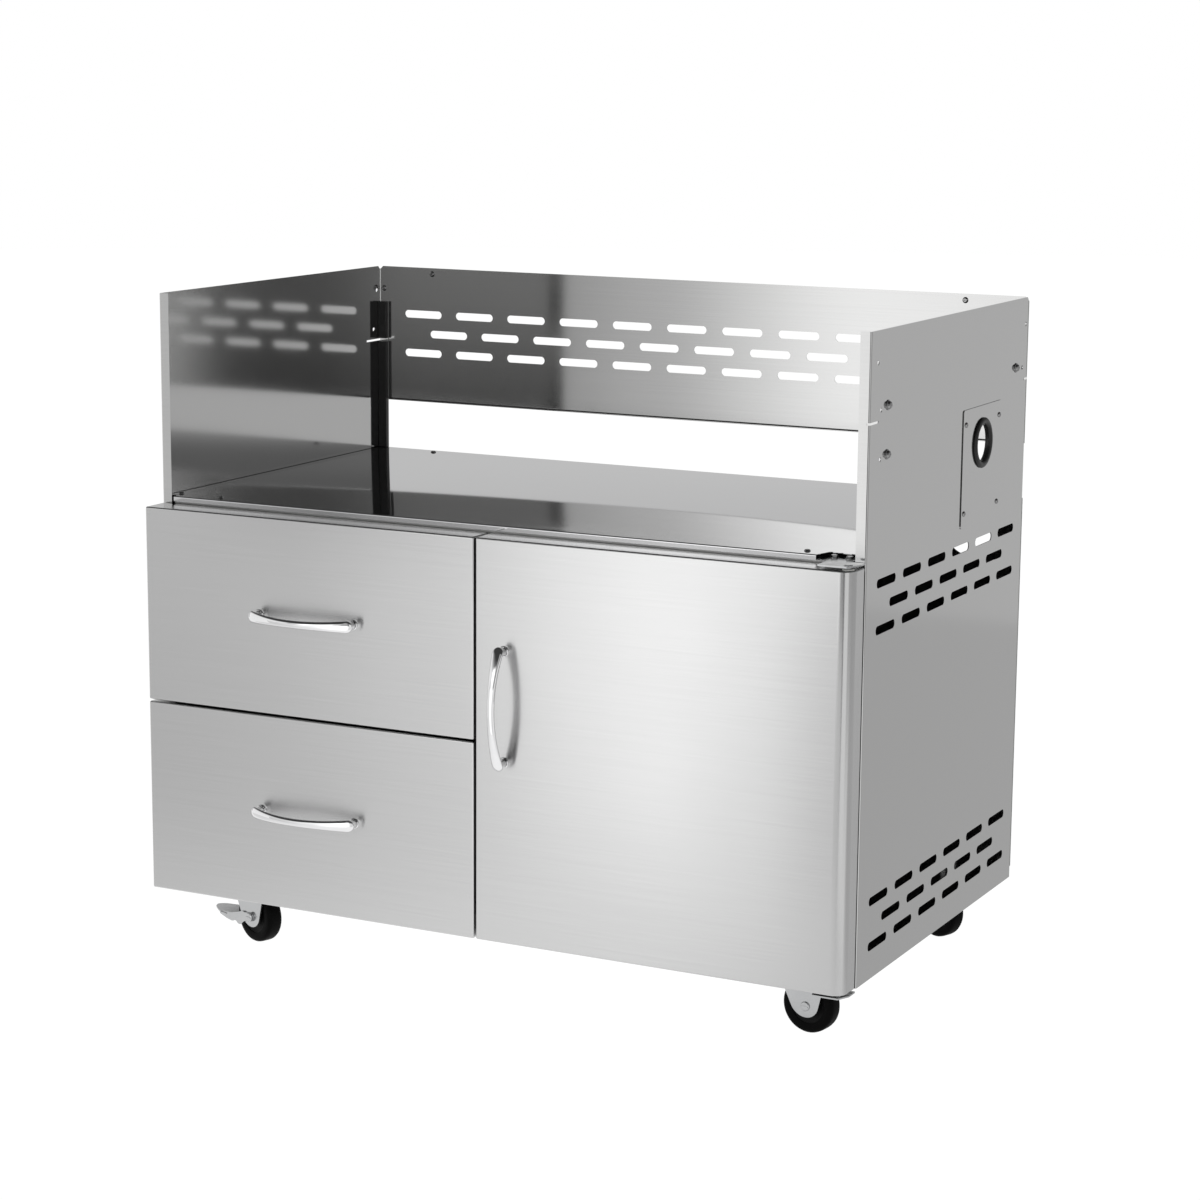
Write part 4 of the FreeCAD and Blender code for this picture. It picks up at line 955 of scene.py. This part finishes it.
def axle(bm, far):
    """The axle bolt: shank, slotted head on one side and nut on the other."""
    turned(bm, [(0, -far), (4, -far), (4, far), (0, far)], HUB, Y, 20)
    head = [(0, 2.0), (2.2, 2.6), (5.6, 2.2), (6.4, 1.2), (6.5, 0), (0, 0)]
    turned(bm, head, HUB - Y * far, Y * -1, 24)
    rounded_block(bm, HUB + Vector((-5, -far - 3, -0.7)), HUB + Vector((5, -far - 2.1, 0.7)))
    hexagon_head(bm, HUB + Y * far, Y, 12, 5)


def caster_top(corner):
    """The mesh of a top plate with the fixed race and the stem of its swivel."""
    bm = bmesh.new()
    rounded_block(bm, (-46, -30, -2.5), (46, 30, 0), 6, 4, lambda m: abs(m.z + 1.25) < 0.1)
    race = [(0, -2), (20, -2), (22.6, -4), (23, -7), (22.6, -11.4), (21, -13), (5, -13)]
    race += [(5, -17), (8, -17), (8, -19.2), (7, -20), (0, -20)]
    turned(bm, race, Vector(), Z, 32)
    bmesh.ops.transform(bm, matrix=caster_place(corner, False), verts=bm.verts)
    mesh = bpy.data.meshes.new("caster_top")
    bm.to_mesh(mesh)
    bm.free()
    return mesh


class CART_OT_casters(bpy.types.Operator):
    """Make the four swivel casters"""

    bl_idname = "cart.casters"
    bl_label = "Casters"

    def execute(self, context):
        bases = bmesh.new()
        for corner in CASTERS:
            swivel, wheel = corner + "_swivel", corner + "_wheel"
            place = caster_place(corner)
            bm = bmesh.new()
            fork(bm)
            node = corner + "_fork"
            make_piece(node + "_shell", bm, "zinc_plate", swivel, (node,), place=place)
            bm = bmesh.new()
            axle(bm, LEG_FACE + FORK_WALL + (3.0 if corner in BRAKED else 0.0))
            make_piece(corner + "_axle_bolt", bm, "zinc_plate", swivel, (corner + "_axle",), place=place)
            bm = bmesh.new()
            turned(bm, TYRE_SECTION, HUB, Y, 64)
            make_piece(corner + "_tread", bm, "tread_rubber", wheel, (corner + "_tyre",), 40, place)
            bm = bmesh.new()
            turned(bm, HUB_SECTION, HUB, Y, 48)
            make_piece(corner + "_wheel_centre", bm, "hub_plastic", wheel, (corner + "_hub",), 40, place)
            mesh = caster_top(corner)
            bases.from_mesh(mesh)
            bpy.data.meshes.remove(mesh)
        make_piece("caster_tops", bases, "zinc_plate", "root", ("caster_bases",))
        return {"FINISHED"}


def pedal_ear(bm, y):
    """One side of the brake pedal, with its wavy lower edge."""
    corners = [(7.5, 0), (5, 6), (-5, 5), (-12, 4), (-18, 5), (-30, 1), (-48, -4), (-72, -6), (-72, -10)]
    corners += [(-54, -14), (-42, -15), (-34, -12), (-28, -16), (-22, -16)]
    corners += [(-15, -10), (-8, -7), (5, -6)]
    across = stamped(bm, [HUB + Vector((x, y, z)) for x, z in corners], Y * PEDAL_SHEET)
    bevelled(bm, across, 2.0, 3, clamp_overlap=True)


def foot_plate(bm, half):
    """The plate between the ears that the foot presses, drawn in to a blunt tip."""
    corners = [(-50, -half), (-74, -half), (-94, -half * 0.5), (-101, 0)]
    corners += [(-94, half * 0.5), (-74, half), (-50, half)]
    across = stamped(bm, [HUB + Vector((x, y, FOOT_PLATE_Z)) for x, y in corners], Z * 1.8)
    bevelled(bm, across, 4, 4)


class CART_OT_brakes(bpy.types.Operator):
    """Make the foot pedals of the two braked casters"""

    bl_idname = "cart.brakes"
    bl_label = "Brake pedals"

    def execute(self, context):
        inner = LEG_FACE + FORK_WALL + 0.5
        outer = inner + PEDAL_SHEET
        for corner in BRAKED:
            bm = bmesh.new()
            pedal_ear(bm, -outer)
            pedal_ear(bm, inner)
            foot_plate(bm, outer)
            node, place = corner + "_brake_pedal", caster_place(corner)
            make_piece(corner + "_pedal", bm, "zinc_plate", corner + "_brake", (node,), place=place)
        return {"FINISHED"}


class CART_OT_finishes(bpy.types.Operator):
    """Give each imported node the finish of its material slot"""

    bl_idname = "cart.finishes"
    bl_label = "Finishes"

    def execute(self, context):
        for row in frame["record"]["subparts"]:
            node = frame["nodes"][row["node"]]
            made = material_of(row["material_slot"])
            if not node.material_slots:
                node.data.materials.append(made)
            for place in node.material_slots:
                place.material = made
        return {"FINISHED"}


# Studio

# Brightness across a card: pairs of a share of its width, from the left as the cart is seen from the
# front, and a factor.
EVEN = ((0.0, 1.0), (1.0, 1.0))
NEAR_LIGHT = (
    (0.0, 0.75), (0.185, 0.77), (0.25, 0.81), (0.32, 0.88), (0.38, 0.99), (0.45, 1.09), (0.48, 1.16),
    (0.515, 1.32), (0.58, 1.52), (0.615, 1.6), (0.65, 1.54), (0.71, 1.26), (0.75, 0.92), (1.0, 0.8),
)
FLOOR_LIGHT = ((0.0, 0.82), (0.3, 0.87), (0.45, 0.99), (0.6, 1.1), (0.7, 1.1), (0.8, 0.95), (1.0, 0.8))
FAR_LIGHT = (
    (0.0, 0.8), (0.3, 0.8), (0.37, 0.55), (0.43, 0.68), (0.48, 0.78), (0.52, 1.0), (0.565, 1.26),
    (0.61, 1.5), (0.66, 1.57), (0.8, 1.4), (1.0, 1.2),
)
FLAG_LIGHT = ((0.0, 1.2), (0.5, 1.2), (0.62, 0.55), (1.0, 0.6))
# Two heights above a card's middle, and the share of the brightness at each.
LEVEL = (0.0, 1.0, 1.0, 1.0)
LOW_RISE = (-0.22, 0.22, 0.9, 1.03)
FAR_RISE = (0.0, 0.5, 1.0, 1.3)
FLAG_RISE = (-0.7, -0.38, 0.3, 1.0)
BACK_RISE = (-0.05, 0.3, 1.0, 0.3)

LENS = 89.3
CAMERA_PLACE = (1.8776, -3.6457, 1.2664)
# How far the camera is turned to the left, tipped down and rolled, in degrees.
CAMERA_TURN = (26.879, 10.72, 0.436)


def studio_card(name, centre, facing, size, brightness, profile=EVEN, edge=0.3, rise=LEVEL):
    """A soft-edged card of light that only shows in reflections."""
    width, height = size
    bm = bmesh.new()
    bmesh.ops.create_grid(bm, x_segments=1, y_segments=1, size=0.5)
    bmesh.ops.transform(bm, matrix=Matrix.Diagonal((width, height, 1, 1)), verts=bm.verts)
    facing = Vector(facing).normalized()
    side = Z.cross(facing) if abs(facing.z) < 0.9 else X
    card = placed(name, bm)
    card.matrix_world = Matrix.Translation(centre) @ axes_turn(side, facing.cross(side), facing)
    material = bpy.data.materials.new(name)
    tree = cleared_tree(material)
    coordinates = add_node(tree, "ShaderNodeTexCoord").outputs["Object"]
    split = add_node(tree, "ShaderNodeSeparateXYZ", {"Vector": coordinates}).outputs
    fades = []
    for socket, half in ((split["X"], width / 2), (split["Y"], height / 2)):
        distance = worked_out(tree, "ABSOLUTE", socket)
        fades.append(ranged(tree, distance, (0, 1), (half, half - edge), "SMOOTHSTEP"))
    way = 1 if side.x > 0 else -1
    share = worked_out(tree, "MULTIPLY_ADD", split["X"], way / width, 0.5)
    ramp = add_node(tree, "ShaderNodeValToRGB", {"Fac": share})
    ramp.color_ramp.interpolation = "CARDINAL"
    most = max(value for place, value in profile)
    stops = ramp.color_ramp.elements
    for number, (place, value) in enumerate(profile):
        stop = stops[number] if number < 2 else stops.new(place)
        stop.position = place
        stop.color = (value / most, value / most, value / most, 1)
    lift = ranged(tree, split["Y"], rise[2:], rise[:2], "SMOOTHSTEP")
    strength = worked_out(tree, "MULTIPLY", lift, brightness * most)
    shine = {"Color": ramp.outputs["Color"], "Strength": strength}
    mix = {
        0: worked_out(tree, "MULTIPLY", *fades),
        1: add_node(tree, "ShaderNodeBsdfTransparent").outputs[0],
        2: add_node(tree, "ShaderNodeEmission", shine).outputs[0],
    }
    shader = add_node(tree, "ShaderNodeMixShader", mix)
    add_node(tree, "ShaderNodeOutputMaterial", {"Surface": shader.outputs[0]})
    card.data.materials.append(material)
    card.visible_camera = False
    card.visible_diffuse = False
    card.visible_shadow = False
    card.visible_transmission = False


def pale_floor(light):
    """The floor, which glows a little so that it comes out white."""
    bm = bmesh.new()
    bmesh.ops.create_circle(bm, cap_ends=True, segments=96, radius=14.0)
    floor = placed("floor", bm)
    material, tree, shader = new_material("pale_floor")
    looks = {"Base Color": (0.1, 0.1, 0.1, 1), "Roughness": 0.9, "Specular IOR Level": 0.0}
    looks |= {"Emission Color": (1, 1, 1, 1), "Emission Strength": light.floor_glow}
    set_inputs(tree, shader, looks)
    floor.data.materials.append(material)


def pale_room(light):
    """The room: bright at eye height and dark overhead."""
    world = bpy.data.worlds.new("studio")
    bpy.context.scene.world = world
    tree = cleared_tree(world)
    way = add_node(tree, "ShaderNodeTexCoord").outputs["Generated"]
    height = add_node(tree, "ShaderNodeSeparateXYZ", {"Vector": way}).outputs["Z"]
    strength = ranged(tree, height, (light.sky, light.ceiling), (0.25, 0.55), "SMOOTHSTEP")
    glow = add_node(tree, "ShaderNodeBackground", {"Color": (1, 1, 1, 1), "Strength": strength})
    add_node(tree, "ShaderNodeOutputWorld", {"Surface": glow.outputs[0]})


def set_camera():
    """The camera, where it stood for the photograph."""
    camera = bpy.data.cameras.new("camera")
    camera.lens = LENS
    camera.sensor_width = 36
    camera.clip_end = 60
    eye = bpy.data.objects.new("camera", camera)
    bpy.context.scene.collection.objects.link(eye)
    azimuth, pitch, roll = (math.radians(angle) for angle in CAMERA_TURN)
    level = Vector((math.cos(azimuth), math.sin(azimuth), 0))
    forward = Z.cross(level) * math.cos(pitch) - Z * math.sin(pitch)
    above = level.cross(forward)
    right = level * math.cos(roll) + above * math.sin(roll)
    up = above * math.cos(roll) - level * math.sin(roll)
    eye.matrix_world = Matrix.Translation(CAMERA_PLACE) @ axes_turn(right, up, -forward)
    bpy.context.scene.camera = eye


class CART_OT_studio(bpy.types.Operator):
    """Set the pale floor, the soft light and the camera"""

    bl_idname = "cart.studio"
    bl_label = "Studio"

    def execute(self, context):
        light = context.scene.studio_light
        pale_floor(light)
        pale_room(light)
        box, back = light.softbox, light.backdrop
        to_front, to_left = Y * -1, X * -1
        studio_card("low_softbox", (-0.275, -0.9, 0.22), Y, (2.15, 0.64), box, NEAR_LIGHT, 0.05, LOW_RISE)
        studio_card("front_floor", (-0.275, -0.61, 0.004), Z, (2.15, 0.58), box, FLOOR_LIGHT, 0.04)
        studio_card("far_softbox", (-1.25, -2.4, 0.75), Y, (3.1, 1.7), box, FAR_LIGHT, 0.25, FAR_RISE)
        studio_card("grey_flag", (1.05, -2.35, 1.0), Y, (1.5, 2.6), light.flag, FLAG_LIGHT, 0.2, FLAG_RISE)
        studio_card("back_left", (-1.5, 2.5, 1.0), to_front, (3.1, 2.6), back * 0.63)
        studio_card("back_right", (1.55, 2.5, 0.75), to_front, (3.2, 2.6), back * 0.66, rise=BACK_RISE)
        studio_card("right_card", (2.7, 0.6, 1.0), to_left, (4.4, 2.6), back * 0.5, edge=0.4)
        studio_card("side_floor", (1.45, 1.4, 0.004), Z, (2.7, 3.6), back * 0.58)
        studio_card("left_card", (-3.0, 1.3, 1.0), X, (3.6, 2.6), back * 0.5, edge=0.4)
        studio_card("left_floor", (-1.75, 1.5, 0.004), Z, (2.4, 3.2), back * 0.58)
        set_camera()
        context.scene.view_settings.view_transform = "Standard"
        return {"FINISHED"}


STEPS = (
    CART_OT_finishes,
    CART_OT_side_panels,
    CART_OT_back_panel,
    CART_OT_deck,
    CART_OT_drawer_fronts,
    CART_OT_door,
    CART_OT_handles,
    CART_OT_access_plate,
    CART_OT_screws,
    CART_OT_hinges,
    CART_OT_casters,
    CART_OT_brakes,
    CART_OT_studio,
)


class CART_PT_cart(bpy.types.Panel):
    """Lists the steps that build the cart"""

    bl_idname = "CART_PT_cart"
    bl_label = "Grill cart"
    bl_space_type = "VIEW_3D"
    bl_region_type = "UI"
    bl_category = "Grill cart"

    def draw(self, context):
        for step in STEPS:
            self.layout.operator(step.bl_idname)
        for group in (context.scene.cart_shape, context.scene.cart_finish, context.scene.studio_light):
            for name in group.bl_rna.properties.keys():
                if name not in ("rna_type", "name"):
                    self.layout.prop(group, name)


CLASSES = (CartFinish, CartShape, StudioLight, *STEPS, CART_PT_cart)


def register():
    for kind in CLASSES:
        bpy.utils.register_class(kind)
    bpy.types.Scene.cart_finish = PointerProperty(type=CartFinish)
    bpy.types.Scene.cart_shape = PointerProperty(type=CartShape)
    bpy.types.Scene.studio_light = PointerProperty(type=StudioLight)


def unregister():
    del bpy.types.Scene.studio_light
    del bpy.types.Scene.cart_shape
    del bpy.types.Scene.cart_finish
    for kind in reversed(CLASSES):
        bpy.utils.unregister_class(kind)


def main():
    register()
    for step in STEPS:
        space, action = step.bl_idname.split(".")
        getattr(getattr(bpy.ops, space), action)()


if __name__ == "__main__":
    main()
